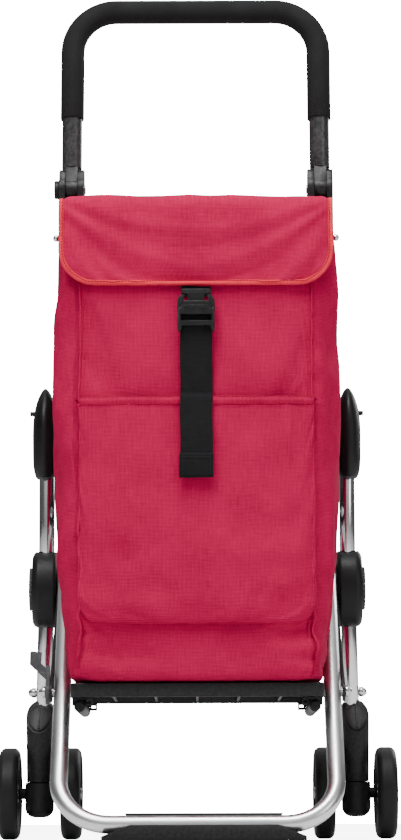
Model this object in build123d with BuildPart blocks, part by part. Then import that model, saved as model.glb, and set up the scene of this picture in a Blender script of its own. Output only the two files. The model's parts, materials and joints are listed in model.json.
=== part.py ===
from build123d import *
import os
from math import atan, atan2, cos, degrees, hypot, radians, sin

# A folding shopping trolley: a black tubular back frame with four wheels, a satin
# aluminium front leg bent into a U, a flip-up platform and a tall fabric bag.
# Millimetres. x runs to the user's right, y to the back, z up from the floor.
# The origin is on the floor, under the middle of the trolley's outer box.

os.makedirs("parts", exist_ok=True)

# ---------------------------------------------------------------- driving dimensions
HEIGHT = 1048.0            # floor to the top of the grip
SIDES = ((-1, "left"), (1, "right"))
RUN = 0.05                 # radial clearance of a pin in its hole
GAP = 0.3                  # clearance between neighbours that move apart

# places in the side view, as (y, z)
KNEE = (90.0, 394.0)       # the front leg turns on the main tubes here
HINGE = (110.0, 798.0)     # the handle folds here
HUB = (102.0, 300.0)       # round joint halfway down the rear leg
POD = (95.0, 490.0)        # egg-shaped housing that ties the rear leg to the main tube
AXLE = (130.0, 55.0)
BAR = (-167.5, 18.0)       # bottom bar of the front leg
FRONT_Y = -185.0           # foremost point, level with the wheels' rear point on the other side

# places across, measured from the middle
FRAME_X = 154.3            # main tubes, front leg and handle lie in one line
LEG_X = 182.5              # struts and leg tubes
CARRIER_X = 191.0          # wheel legs

# tube and bar sizes
MAIN_R, MAIN_WALL = 12.5, 1.5
U_R, U_WALL, U_BEND = 10.0, 1.5, 58.0
LEG_R, LEG_WALL = 9.5, 1.2
GRIP_R, HANDLE_BEND = 14.75, 55.0
PIN_R = 4.0

# wheels
WHEEL_R, WHEEL_W, RIM_R = 55.0, 24.0, 41.0
OUTER_WHEEL_X, INNER_WHEEL_X = 227.0, 152.6

# platform
TRAY_HALF, TRAY_FRONT, TRAY_BACK = 143.3, -115.0, 65.0
TRAY_LOW, TRAY_HIGH = 160.0, 176.0
ROD_Z = 168.0
RAIL_X, RAIL_Z, RAIL_R = 133.0, 150.0, 6.5

# bag
BAG_FRONT, BAG_BACK, BAG_LOW, BAG_HIGH = -125.0, 76.0, 176.5, 750.0
BAG_WALL, BAG_CORNER = 3.0, 30.0
BAG_NARROW = 143.0         # half width where it passes between the legs of the U
SEAM_X = 133.0             # the front panel's seams
POCKET_LOW, POCKET_HIGH, POCKET_DEEP = 244.0, 498.0, 19.0
FLAP_HALF, FLAP_LOW, FLAP_TOP, FLAP_CORNER = 157.0, 625.0, 755.0, 42.0
RIM_FRONT, FLAP_FOLD = 727.0, 732.0   # the bag's top slopes down to the front
FLAP_FRONT, FLAP_THICK, BINDING_W = -133.0, 3.0, 6.0
STRAP_HALF, STRAP_THICK, STRAP_LOW = 19.0, 2.4, 404.0

# travel
FOLD_MAX = 28.0            # degrees that the front leg swings back

# ---------------------------------------------------------------- worked-out geometry
LEAN = atan((KNEE[0] - BAR[0]) / (KNEE[1] - BAR[1]))          # front leg from upright
U_LENGTH = hypot(KNEE[0] - BAR[0], KNEE[1] - BAR[1])
ROD = (KNEE[0] - (KNEE[1] - ROD_Z) * (KNEE[0] - BAR[0]) / (KNEE[1] - BAR[1]), ROD_Z)
TOP_Z = HEIGHT - GRIP_R
HANDLE_LEAN = radians(5.34)
HANDLE_LENGTH = (TOP_Z - HINGE[1]) / cos(HANDLE_LEAN)
U_PLANE = Plane(origin=(0, *KNEE), x_dir=(1, 0, 0), z_dir=(0, -cos(LEAN), sin(LEAN)))
HANDLE_PLANE = Plane(
    origin=(0, *HINGE), x_dir=(1, 0, 0), z_dir=(0, -cos(HANDLE_LEAN), sin(HANDLE_LEAN))
)


def at(x, yz):
    """Point at x across and (y, z) in the side view."""
    return Vector(x, yz[0], yz[1])


def along(start, end, distance):
    """(y, z) of the point that lies this far from start on the line to end."""
    length = hypot(end[0] - start[0], end[1] - start[1])
    return tuple(a + (b - a) * distance / length for a, b in zip(start, end))


def turned(centre, yz, angle):
    """(y, z) turned about a centre, positive from the back towards the top."""
    dy, dz = yz[0] - centre[0], yz[1] - centre[1]
    c, s = cos(radians(angle)), sin(radians(angle))
    return (centre[0] + dy * c - dz * s, centre[1] + dy * s + dz * c)


def bar(start, end, radius, mode=Mode.ADD):
    """Round bar, or hole, between two points of the part being built."""
    line = Vector(end) - Vector(start)
    with BuildSketch(Plane(origin=start, z_dir=line)) as disc:
        Circle(radius)
    extrude(disc.sketch, amount=line.length, mode=mode)


def cross(x_from, x_to, yz, radius, mode=Mode.ADD):
    """Round bar, or hole, that runs straight across the trolley."""
    bar(at(min(x_from, x_to), yz), at(max(x_from, x_to), yz), radius, mode)


def block(x_range, y_range, z_range, mode=Mode.ADD):
    """Plain block, or cut-out, between two corners of the part being built."""
    low = [min(r) for r in (x_range, y_range, z_range)]
    size = [max(r) - min(r) for r in (x_range, y_range, z_range)]
    with Locations(tuple(a + b / 2 for a, b in zip(low, size))):
        Box(*size, mode=mode)


def save(piece, name):
    piece.part.label = name
    export_step(piece.part, f"parts/{name}.step")


# ---------------------------------------------------------------- main tubes and knees
TUBE_LOW = along(KNEE, HINGE, 30.0)
TUBE_HIGH = along(HINGE, KNEE, 27.0)
SPIGOT = 22.0              # how far a plug goes into its tube

for side, hand in SIDES:
    x = side * FRAME_X
    with BuildPart() as main_tube:
        bar(at(x, TUBE_LOW), at(x, TUBE_HIGH), MAIN_R)
        bar(at(x, TUBE_LOW), at(x, TUBE_HIGH), MAIN_R - MAIN_WALL, Mode.SUBTRACT)
    save(main_tube, f"main_tube_{hand}")

TONGUE_W, TONGUE_R, KNEE_R, KNEE_HALF = 10.0, 12.5, 15.0, 12.2
TONGUE_END = 17.0          # from the knee's axis to the end of the U tube

for side, hand in SIDES:
    x = side * FRAME_X
    with BuildPart() as knee:
        bar(at(x, KNEE), at(x, TUBE_LOW), MAIN_R)
        cross(x - KNEE_HALF, x + KNEE_HALF, KNEE, KNEE_R)
        bar(at(x, TUBE_LOW), at(x, along(TUBE_LOW, HINGE, SPIGOT)), MAIN_R - MAIN_WALL - RUN)
        slot_half = TONGUE_W / 2 + GAP
        block(
            (x - slot_half, x + slot_half),
            (KNEE[0] - 30, KNEE[0] + 30),
            (KNEE[1] - 30, KNEE[1] + TONGUE_R + 1.5),
            Mode.SUBTRACT,
        )
        cross(x - 20, x + 20, KNEE, PIN_R, Mode.SUBTRACT)
    save(knee, f"lower_knuckle_{hand}")

# flush pins that the front leg turns on
with BuildPart() as knuckle_pins:
    for side, hand in SIDES:
        cross(side * (FRAME_X - KNEE_HALF), side * (FRAME_X + MAIN_R), KNEE, PIN_R)
        cross(side * (FRAME_X + MAIN_R), side * (FRAME_X + MAIN_R + 1.6), KNEE, PIN_R + 2.5)
save(knuckle_pins, "knuckle_pins")

# ---------------------------------------------------------------- handle hinges
CHEEK_IN, CHEEK_OUT, CHEEK_GAP = 15.9, 15.4, 7.9
BUTTON_R, BUTTON_TRAVEL = 11.6, 3.0
BUTTON_SINK = BUTTON_TRAVEL + GAP


def hinge_plates(x, side):
    """The two rounded cheeks of one handle hinge, and the block that joins them."""
    inner, outer = x - side * CHEEK_IN, x + side * CHEEK_OUT
    with BuildSketch(Plane.YZ.offset(min(inner, outer))) as cheek:
        with Locations(HINGE):
            Circle(17)
        with Locations((HINGE[0] + 1.0, HINGE[1] + 14.0)):
            Circle(11.5)
        with BuildLine():
            Polyline(
                (HINGE[0] - 17, HINGE[1]),
                (HINGE[0] - 14.5, HINGE[1] - 22),
                (HINGE[0] - 13.5, HINGE[1] - 29),
                (HINGE[0] + 11.5, HINGE[1] - 29),
                (HINGE[0] + 13.5, HINGE[1] - 22),
                (HINGE[0] + 17, HINGE[1]),
                close=True,
            )
        make_face()
        with BuildLine():
            Polyline(
                (HINGE[0] - 16, HINGE[1] + 5),
                (HINGE[0] - 10, HINGE[1] + 17),
                (HINGE[0] + 12, HINGE[1] + 17),
                (HINGE[0] + 16, HINGE[1] + 5),
                close=True,
            )
        make_face()
    extrude(cheek.sketch, amount=abs(outer - inner))


for side, hand in SIDES:
    x = side * FRAME_X
    with BuildPart() as clevis:
        hinge_plates(x, side)
        block(
            (x - CHEEK_GAP, x + CHEEK_GAP),
            (HINGE[0] - 40, HINGE[0] + 40),
            (HINGE[1] - 14.6, HINGE[1] + 40),
            Mode.SUBTRACT,
        )
        bar(at(x, TUBE_HIGH), at(x, along(TUBE_HIGH, KNEE, 12)), 40, Mode.SUBTRACT)
        bar(at(x, TUBE_HIGH), at(x, along(TUBE_HIGH, KNEE, SPIGOT)), MAIN_R - MAIN_WALL - RUN)
        cross(x - 20, x + 20, HINGE, PIN_R, Mode.SUBTRACT)
        if hand == "left":
            recess = x - CHEEK_OUT
            cross(recess, recess + BUTTON_SINK, HINGE, BUTTON_R + GAP, Mode.SUBTRACT)
    save(clevis, f"hinge_clevis_{hand}")

with BuildPart() as hinge_pins:
    cross(-FRAME_X - CHEEK_OUT + BUTTON_SINK + GAP, -FRAME_X + CHEEK_IN, HINGE, PIN_R)
    cross(-FRAME_X + CHEEK_IN, -FRAME_X + CHEEK_IN + 1.6, HINGE, PIN_R + 1.5)
    cross(FRAME_X - CHEEK_IN, FRAME_X + CHEEK_OUT, HINGE, PIN_R)
    cross(FRAME_X - CHEEK_IN - 1.6, FRAME_X - CHEEK_IN, HINGE, PIN_R + 1.5)
save(hinge_pins, "hinge_pins")

# round release button on the left hinge, pressed inwards
with BuildPart() as release_button:
    face = -FRAME_X - CHEEK_OUT
    cross(face - 6.2, face - 0.1, HINGE, BUTTON_R)
    rim = release_button.edges().filter_by(GeomType.CIRCLE).sort_by(Axis.X)[0]
    fillet(rim, 2.0)
    cross(face - 6.2, face - 5.2, HINGE, BUTTON_R - 4.5, Mode.SUBTRACT)
save(release_button, "release_button")

# ---------------------------------------------------------------- cross bar and bag hanger
CROSS_BAR_Z, CROSS_BAR_R = 464.0, 8.0
HANGER_Z, HANGER_R, HANGER_BALL_R, HANGER_BALL_X = 732.0, 3.0, 4.4, 172.0


def main_axis(z):
    """(y, z) of the main tube's axis at height z."""
    return along(KNEE, HINGE, (z - KNEE[1]) / cos(atan2(HINGE[0] - KNEE[0], HINGE[1] - KNEE[1])))


with BuildPart() as cross_bar:
    cross(-FRAME_X, FRAME_X, main_axis(CROSS_BAR_Z), CROSS_BAR_R)
    cross(-FRAME_X, FRAME_X, main_axis(CROSS_BAR_Z), CROSS_BAR_R - 1.2, Mode.SUBTRACT)
    for side, hand in SIDES:
        low, high = (at(side * FRAME_X, main_axis(z)) for z in (CROSS_BAR_Z - 30, CROSS_BAR_Z + 30))
        bar(low, high, MAIN_R + RUN, Mode.SUBTRACT)
save(cross_bar, "cross_bar")

HANGER = (main_axis(HANGER_Z)[0] - MAIN_R - 4.5, HANGER_Z)

with BuildPart() as hanger_rod:
    cross(-HANGER_BALL_X, HANGER_BALL_X, HANGER, HANGER_R)
    with Locations((-HANGER_BALL_X, *HANGER), (HANGER_BALL_X, *HANGER)):
        Sphere(HANGER_BALL_R, rotation=(0, 90, 0))
save(hanger_rod, "hanger_rod")

with BuildPart() as rod_clips:
    for side, hand in SIDES:
        x = side * FRAME_X
        low, high = main_axis(HANGER_Z - 10), main_axis(HANGER_Z + 10)
        bar(at(x, low), at(x, high), MAIN_R + 2.4)
        block((x - 8, x + 8), (HANGER[0] - 5.5, HANGER[0] + 10), (HANGER_Z - 7, HANGER_Z + 7))
        bar(at(x, main_axis(HANGER_Z - 20)), at(x, main_axis(HANGER_Z + 20)), MAIN_R + RUN, Mode.SUBTRACT)
        cross(x - 20, x + 20, HANGER, HANGER_R + RUN, Mode.SUBTRACT)
save(rod_clips, "rod_clips")

# ---------------------------------------------------------------- rear legs
STRUT_TOP, TUBE_IN_HUB, LEG_BOLT_Z = 458.0, 15.0, 176.0
FOOT_OF_LEG = (123.0, 150.0)
LEG_FOOT_X = 186.5
POD_LOW = 434.0
# height above the pod's flat bottom, half width across, half depth
POD_RINGS = (
    (0.0, 10.0, 15.0),
    (7.0, 13.2, 21.0),
    (24.0, 15.0, 28.0),
    (52.0, 15.4, 31.0),
    (78.0, 14.0, 28.0),
    (97.0, 9.6, 19.0),
    (107.0, 5.0, 10.0),
    (111.0, 1.4, 3.0),
)
POD_X = 184.6


def strut_axis(z):
    """(y, z) on the strut's axis, which runs from the hub up to the pod."""
    return (HUB[0] + (POD[0] - HUB[0]) * (z - HUB[1]) / (POD[1] - HUB[1]), z)


def leg_axis(side, z):
    """Point on the leg tube's axis, which runs from the hub down to the wheel leg."""
    t = (HUB[1] - z) / (HUB[1] - FOOT_OF_LEG[1])
    return Vector(
        side * (LEG_X + (LEG_FOOT_X - LEG_X) * t), HUB[0] + (FOOT_OF_LEG[0] - HUB[0]) * t, z
    )


for side, hand in SIDES:
    x, tube_x = side * POD_X, side * FRAME_X
    with BuildPart() as pod:
        for rise, half_x, half_y in POD_RINGS:
            with BuildSketch(Plane.XY.offset(POD_LOW + rise)):
                with Locations((x, POD[0])):
                    Ellipse(half_x, half_y)
        loft()
        block((side * 153, side * 178), (POD[0] - 17, POD[0] + 17), (447.5, 480.5))
        cross(side * 196, side * 203.4, (POD[0], 514.0), 3.0)
        bar(at(tube_x, main_axis(430)), at(tube_x, main_axis(500)), MAIN_R + RUN, Mode.SUBTRACT)
        bar(
            at(side * LEG_X, strut_axis(POD_LOW - 10)),
            at(side * LEG_X, strut_axis(STRUT_TOP + 0.5)),
            LEG_R + RUN,
            Mode.SUBTRACT,
        )
    save(pod, f"pod_{hand}")

for side, hand in SIDES:
    start, end = at(side * LEG_X, strut_axis(HUB[1] + TUBE_IN_HUB)), at(side * LEG_X, strut_axis(STRUT_TOP))
    with BuildPart() as strut:
        bar(start, end, LEG_R)
        bar(start, end, LEG_R - LEG_WALL, Mode.SUBTRACT)
    save(strut, f"strut_{hand}")

HUB_IN, HUB_OUT, HUB_HALF_Y, HUB_HALF_Z = 169.2, 199.4, 34.0, 47.0
SCALLOP_R, SCALLOP_RISE = 13.0, 36.0

for side, hand in SIDES:
    with BuildPart() as hub:
        with BuildSketch(Plane.YZ.offset(side * HUB_IN)):
            with Locations(HUB):
                Ellipse(HUB_HALF_Y, HUB_HALF_Z)
        extrude(amount=side * (HUB_OUT - HUB_IN))
        rims = hub.edges().sort_by(Axis.X)
        outer, inner = (rims[-1], rims[0]) if side > 0 else (rims[0], rims[-1])
        fillet(outer, 9.0)
        fillet(hub.edges().sort_by(Axis.X)[0 if side > 0 else -1], 5.0)
        # the ears stand clear round the tubes, above and below
        x = side * LEG_X
        bar(at(x, strut_axis(HUB[1] + SCALLOP_RISE)), at(x, strut_axis(400)), SCALLOP_R, Mode.SUBTRACT)
        bar(leg_axis(side, HUB[1] - SCALLOP_RISE), leg_axis(side, 200), SCALLOP_R, Mode.SUBTRACT)
        bar(at(x, strut_axis(HUB[1] + TUBE_IN_HUB - 0.5)), at(x, strut_axis(400)), LEG_R + RUN, Mode.SUBTRACT)
        bar(leg_axis(side, HUB[1] - TUBE_IN_HUB + 0.5), leg_axis(side, 200), LEG_R + RUN, Mode.SUBTRACT)
        cross(side * (HUB_IN - 2), side * (HUB_IN + 7.5), HUB, PIN_R + RUN, Mode.SUBTRACT)
    save(hub, f"hub_{hand}")

CAP_R, CAP_THICK, CAP_RIBS = 26.0, 3.4, 28
with BuildPart() as hub_caps:
    for side, hand in SIDES:
        with BuildSketch(Plane.YZ.offset(side * HUB_OUT)):
            with Locations(HUB):
                Circle(CAP_R)
                with PolarLocations(CAP_R, CAP_RIBS):
                    Circle(1.2, mode=Mode.SUBTRACT)
        extrude(amount=side * CAP_THICK)
        cross(side * (HUB_OUT + CAP_THICK - 1), side * (HUB_OUT + CAP_THICK), HUB, CAP_R - 7, Mode.SUBTRACT)
save(hub_caps, "hub_caps")

for side, hand in SIDES:
    start, end = leg_axis(side, HUB[1] - TUBE_IN_HUB), leg_axis(side, FOOT_OF_LEG[1])
    with BuildPart() as leg_tube:
        bar(start, end, LEG_R)
        bar(start, end, LEG_R - LEG_WALL, Mode.SUBTRACT)
        bolt_at = leg_axis(side, LEG_BOLT_Z)
        cross(bolt_at.X - 20, bolt_at.X + 20, (bolt_at.Y, bolt_at.Z), 3.0 + RUN, Mode.SUBTRACT)
    save(leg_tube, f"leg_tube_{hand}")


def dome_nut(face_x, side, yz, radius, depth):
    """Domed nut whose flat face is at face_x and whose dome points outwards."""
    cross(face_x, face_x + side * depth * 0.5, yz, radius)
    with Locations((face_x + side * depth * 0.45, *yz)):
        Sphere(depth * 0.55, rotation=(0, 90, 0))


with BuildPart() as leg_bolts:
    for side, hand in SIDES:
        place = leg_axis(side, LEG_BOLT_Z)
        yz = (place.Y, place.Z)
        head = side * (abs(place.X) + LEG_R + 0.4)
        cross(side * (abs(place.X) - LEG_R - 2.5), head, yz, 3.0)
        cross(side * (abs(place.X) - LEG_R - 3.0), side * (abs(place.X) - LEG_R - 0.4), yz, 5.5)
        dome_nut(head, side, yz, 6.0, 9.5)
save(leg_bolts, "leg_bolts")

# ---------------------------------------------------------------- wheel legs
SLEEVE_R, COLLAR_R, COLLAR_LOW, RING_Z, SLEEVE_TOP = 15.4, 17.4, 26.5, 68.4, 168.0
COLLAR_Y = AXLE[0] - 4.0
LEG_HEAD = (100.0, SLEEVE_TOP)          # top of the sleeve's axis
LEG_ROOT = (COLLAR_Y - 3.0, RING_Z)     # where the sleeve meets the collar
FACET_LOW, FACET_HIGH = (94.0, 127.0), (113.0, 161.0)
FACET_LENGTH = hypot(FACET_HIGH[0] - FACET_LOW[0], FACET_HIGH[1] - FACET_LOW[1])
FACET_PLANE = Plane(
    origin=(0, *FACET_LOW),
    x_dir=(1, 0, 0),
    z_dir=(0, FACET_LOW[1] - FACET_HIGH[1], FACET_HIGH[0] - FACET_LOW[0]),
)

for side, hand in SIDES:
    x = side * CARRIER_X
    with BuildPart() as wheel_leg:
        bar(at(x, along(LEG_ROOT, LEG_HEAD, -12)), at(x, LEG_HEAD), SLEEVE_R)
        # socket behind the slanted face, with a domed top round the leg tube
        low, high = leg_axis(side, 96.0), leg_axis(side, 154.0)
        bar(low, high, LEG_R + 4.2)
        with Locations(high):
            Sphere(LEG_R + 4.2)
        split(bisect_by=FACET_PLANE, keep=Keep.BOTTOM)
        block((x - 40, x + 40), (50, 180), (0, RING_Z + GAP), Mode.SUBTRACT)
        bar(leg_axis(side, FOOT_OF_LEG[1] - 0.5), leg_axis(side, 200.0), LEG_R + RUN, Mode.SUBTRACT)
    save(wheel_leg, f"wheel_leg_{hand}")

# oval covers on the slanted faces, each with a ridge down its middle
with BuildPart() as leg_caps:
    for side, hand in SIDES:
        x = side * CARRIER_X
        with BuildSketch(FACET_PLANE.offset(0.05)):
            with Locations((x, FACET_LENGTH / 2)):
                Ellipse(12.8, FACET_LENGTH / 2 - 2)
        extrude(amount=1.6)
        with BuildSketch(FACET_PLANE.offset(1.6)):
            with Locations((x, FACET_LENGTH / 2)):
                Rectangle(2.6, FACET_LENGTH - 9)
        extrude(amount=1.4)
save(leg_caps, "leg_caps")

for side, hand in SIDES:
    x = side * CARRIER_X
    with BuildPart() as collar:
        bar((x, COLLAR_Y, COLLAR_LOW), (x, COLLAR_Y, RING_Z), COLLAR_R)
        bottom = collar.edges().sort_by(Axis.Z)[0]
        fillet(bottom, 12.0)
        rim = collar.edges().filter_by(GeomType.CIRCLE).sort_by(Axis.Z)[-1]
        chamfer(rim, 1.2)
        cross(side * (INNER_WHEEL_X + 10.4), side * (OUTER_WHEEL_X - 10.4), AXLE, 6.6)
        cross(side * 150, side * 230, AXLE, PIN_R + RUN, Mode.SUBTRACT)
    save(collar, f"wheel_collar_{hand}")

RIM_HALF = 10.0
with BuildPart() as axles:
    for side, hand in SIDES:
        inner, outer = INNER_WHEEL_X - RIM_HALF - 0.4, OUTER_WHEEL_X + RIM_HALF + 0.4
        cross(side * inner, side * outer, AXLE, PIN_R)
        cross(side * inner, side * (inner - 1.4), AXLE, 7.0)
        cross(side * outer, side * (outer + 1.4), AXLE, 7.0)
save(axles, "axles")

for side, hand in SIDES:
    for place, wheel_x in (("outer", OUTER_WHEEL_X), ("inner", INNER_WHEEL_X)):
        x = side * wheel_x
        with BuildPart() as tyre:
            cross(x - WHEEL_W / 2, x + WHEEL_W / 2, AXLE, WHEEL_R)
            shoulders = tyre.edges().filter_by(GeomType.CIRCLE)
            fillet(shoulders, 7.5)
            cross(x - WHEEL_W, x + WHEEL_W, AXLE, RIM_R, Mode.SUBTRACT)
        save(tyre, f"tyre_{hand}_{place}")
        with BuildPart() as rim:
            cross(x - RIM_HALF, x + RIM_HALF, AXLE, RIM_R)
            for face in (-1, 1):
                dish = x + face * RIM_HALF
                with BuildSketch(Plane.YZ.offset(dish)):
                    with Locations(AXLE):
                        Circle(RIM_R - 4)
                        Circle(11, mode=Mode.SUBTRACT)
                extrude(amount=-face * (RIM_HALF - 3), mode=Mode.SUBTRACT)
            with BuildSketch(Plane.YZ.offset(x - RIM_HALF)):
                with Locations(AXLE):
                    with PolarLocations(24.0, 6):
                        Circle(7.5)
            extrude(amount=2 * RIM_HALF, mode=Mode.SUBTRACT)
            cross(x - WHEEL_W, x + WHEEL_W, AXLE, PIN_R + RUN, Mode.SUBTRACT)
        save(rim, f"rim_{hand}_{place}")

# ---------------------------------------------------------------- front leg
with BuildPart() as front_tube:
    with BuildLine(U_PLANE) as run:
        FilletPolyline(
            (-FRAME_X, -TONGUE_END),
            (-FRAME_X, -U_LENGTH),
            (FRAME_X, -U_LENGTH),
            (FRAME_X, -TONGUE_END),
            radius=U_BEND,
        )
    with BuildSketch(Plane(origin=run.line @ 0, z_dir=run.line % 0)):
        Circle(U_R)
        Circle(U_R - U_WALL, mode=Mode.SUBTRACT)
    sweep()
    cross(-200, 200, ROD, PIN_R + RUN, Mode.SUBTRACT)
save(front_tube, "front_tube")

# plugs in the U's upper ends, each with the tongue that turns in the knee
with BuildPart() as tube_ends:
    for side, hand in SIDES:
        x = side * FRAME_X
        cross(x - TONGUE_W / 2, x + TONGUE_W / 2, KNEE, TONGUE_R)
        end = along(KNEE, BAR, TONGUE_END)
        with BuildSketch(Plane(origin=at(x, KNEE), x_dir=(1, 0, 0), z_dir=at(x, end) - at(x, KNEE))):
            Rectangle(TONGUE_W, 17.0)
        extrude(amount=TONGUE_END)
        bar(at(x, end), at(x, along(KNEE, BAR, TONGUE_END + SPIGOT)), U_R - U_WALL - RUN)
    cross(-200, 200, KNEE, PIN_R + RUN, Mode.SUBTRACT)
save(tube_ends, "tube_ends")

# foot under the bottom bar: low lip in front, taller rim behind, ends cut down
PAD_FROM, PAD_TO, PAD_LIP, PAD_RIM = -105.5, 119.0, 17.5, 30.5
with BuildPart() as foot_pad:
    with BuildSketch(Plane.YZ.offset(PAD_FROM)):
        with BuildLine():
            Polyline(
                (FRONT_Y + 2, 0),
                (FRONT_Y, 3),
                (FRONT_Y + 1.5, PAD_LIP),
                (BAR[0] - U_R + 1, PAD_LIP),
                (BAR[0] + U_R - 3, PAD_RIM),
                (BAR[0] + U_R + 3, PAD_RIM),
                (BAR[0] + U_R + 6.5, 4),
                (BAR[0] + U_R + 4.5, 0),
                close=True,
            )
        make_face()
        with Locations(BAR):
            Circle(U_R + RUN, mode=Mode.SUBTRACT)
        with Locations((BAR[0] - 5, BAR[1] + 11)):
            Rectangle(22, 22, mode=Mode.SUBTRACT)
    extrude(amount=PAD_TO - PAD_FROM)
    for end, inward in ((PAD_FROM, 1), (PAD_TO, -1)):
        with BuildSketch(Plane.XZ.offset(-FRONT_Y + 10)):
            with BuildLine():
                Polyline(
                    (end - inward, 5),
                    (end + inward * 33, PAD_LIP + 0.5),
                    (end + inward * 24, PAD_RIM + 1),
                    (end - inward, PAD_RIM + 1),
                    close=True,
                )
            make_face()
        extrude(amount=-60, mode=Mode.SUBTRACT)
save(foot_pad, "foot_pad")

# ---------------------------------------------------------------- platform
STAY_THICK, STAY_GAP = 3.0, 1.2
STAY_IN = FRAME_X + U_R + STAY_GAP
STAY_OUT = STAY_IN + STAY_THICK
LEVER_THICK = 4.4

with BuildPart() as platform_rod:
    lever_side = STAY_OUT + GAP + LEVER_THICK + GAP
    cross(-lever_side, STAY_OUT + GAP, ROD, PIN_R)
    dome_nut(-lever_side, -1, ROD, 6.3, 8.0)
    dome_nut(STAY_OUT + GAP, 1, ROD, 6.3, 8.0)
save(platform_rod, "platform_rod")

TRAY_DEPTH, TRAY_SKIN, TRAY_SKIRT = TRAY_BACK - TRAY_FRONT, 3.2, 6.0
TRAY_MID = (TRAY_FRONT + TRAY_BACK) / 2
with BuildPart() as tray:
    with BuildSketch(Plane.XY.offset(TRAY_LOW)):
        with Locations((0, TRAY_MID)):
            RectangleRounded(2 * TRAY_HALF, TRAY_DEPTH, 11)
    extrude(amount=TRAY_HIGH - TRAY_LOW)
    fillet(tray.faces().sort_by(Axis.Z)[-1].edges(), 2.0)
    with BuildSketch(Plane.XY.offset(TRAY_LOW)):
        with Locations((0, TRAY_MID)):
            Rectangle(2 * (TRAY_HALF - TRAY_SKIRT), TRAY_DEPTH - 2 * TRAY_SKIRT)
    extrude(amount=TRAY_HIGH - TRAY_LOW - TRAY_SKIN, mode=Mode.SUBTRACT)
    for x in (-96, -48, 0, 48, 96):
        block((x - 1.5, x + 1.5), (TRAY_FRONT + 3, TRAY_BACK - 3), (TRAY_LOW + 2, TRAY_HIGH - 2))
    cross(-200, 200, ROD, PIN_R + RUN, Mode.SUBTRACT)
save(tray, "platform_tray")

RAIL_FRONT, RAIL_BACK = -103.0, 50.0
with BuildPart() as tray_rails:
    for side, hand in SIDES:
        x = side * RAIL_X
        bar((x, RAIL_FRONT, RAIL_Z), (x, RAIL_BACK, RAIL_Z), RAIL_R)
    ends = tray_rails.edges().filter_by(GeomType.CIRCLE).group_by(Axis.Y)
    fillet(ends[0] + ends[-1], 2.5)
save(tray_rails, "tray_rails")

with BuildPart() as tray_brackets:
    for side, hand in SIDES:
        for y in (RAIL_FRONT + 5, RAIL_BACK - 9):
            block((side * 118.5, side * 141.5), (y, y + 4), (RAIL_Z + 1, TRAY_LOW - 0.1))
            bar((side * RAIL_X, y - 5, RAIL_Z), (side * RAIL_X, y + 9, RAIL_Z), RAIL_R + RUN, Mode.SUBTRACT)
            with BuildSketch(Plane.XZ.offset(-y + 5)):
                with Locations((side * 122.8, RAIL_Z + 5.4)):
                    Ellipse(2.6, 1.5)
            extrude(amount=-14, mode=Mode.SUBTRACT)
save(tray_brackets, "tray_brackets")

# stiff board in the bottom of the bag; it lifts with the platform
with BuildPart() as base_board:
    with BuildSketch(Plane.XY.offset(BAG_LOW + BAG_WALL + GAP)):
        with Locations((0, TRAY_MID)):
            RectangleRounded(268, 168, 10)
    extrude(amount=3)
save(base_board, "base_board")

# ---------------------------------------------------------------- side stays
# Each stay turns on the hub. The platform rod's end slides in its slot, which follows
# the path that the rod takes past the stay as the trolley folds.


def direction(start, end):
    """Angle of the line from start to end in the side view, in degrees."""
    return degrees(atan2(end[1] - start[1], end[0] - start[0])) % 360


ROD_FOLDED = turned(KNEE, ROD, FOLD_MAX)
STAY_TURN = direction(HUB, ROD_FOLDED) - direction(HUB, ROD)
STAY_RATIO = STAY_TURN / FOLD_MAX
SLOT_HALF = PIN_R + 0.7


def slot_point(fold):
    """Where the rod stands in the stay when the front leg is folded by this angle."""
    return turned(HUB, turned(KNEE, ROD, fold), -STAY_RATIO * fold)


print("front leg leans", round(degrees(LEAN), 2), "rod at", [round(v, 3) for v in ROD])
print("stay turns", round(STAY_TURN, 3), "ratio", round(STAY_RATIO, 5))
print("handle length", round(HANDLE_LENGTH, 2))

with BuildPart() as stay:
    with BuildSketch(Plane.YZ.offset(STAY_IN)):
        with Locations(HUB):
            Circle(30)
        middle = tuple((a + b) / 2 for a, b in zip(HUB, ROD))
        length = hypot(HUB[0] - ROD[0], HUB[1] - ROD[1])
        with Locations(Location((*middle, 0), (0, 0, direction(HUB, ROD)))):
            Rectangle(length, 23)
        with Locations(ROD):
            Circle(11.5)
        with Locations(HUB):
            Circle(PIN_R + RUN, mode=Mode.SUBTRACT)
        with BuildLine(mode=Mode.PRIVATE) as path:
            ThreePointArc(slot_point(-0.4), slot_point(FOLD_MAX / 2), slot_point(FOLD_MAX + 0.4))
        SlotArc(path.edges()[0], 2 * SLOT_HALF, mode=Mode.SUBTRACT)
    extrude(amount=STAY_THICK)
save(stay, "side_stay_right")

with BuildPart() as stay_left:
    add(stay.part.mirror(Plane.YZ))
save(stay_left, "side_stay_left")

with BuildPart() as stay_pins:
    for side, hand in SIDES:
        cross(side * STAY_IN, side * (HUB_IN + 7.0), HUB, PIN_R)
        cross(side * (STAY_IN - 2.4), side * (STAY_IN - GAP), HUB, 8.5)
        cross(side * (STAY_IN - GAP), side * STAY_IN, HUB, PIN_R)
save(stay_pins, "stay_pins")

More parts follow.
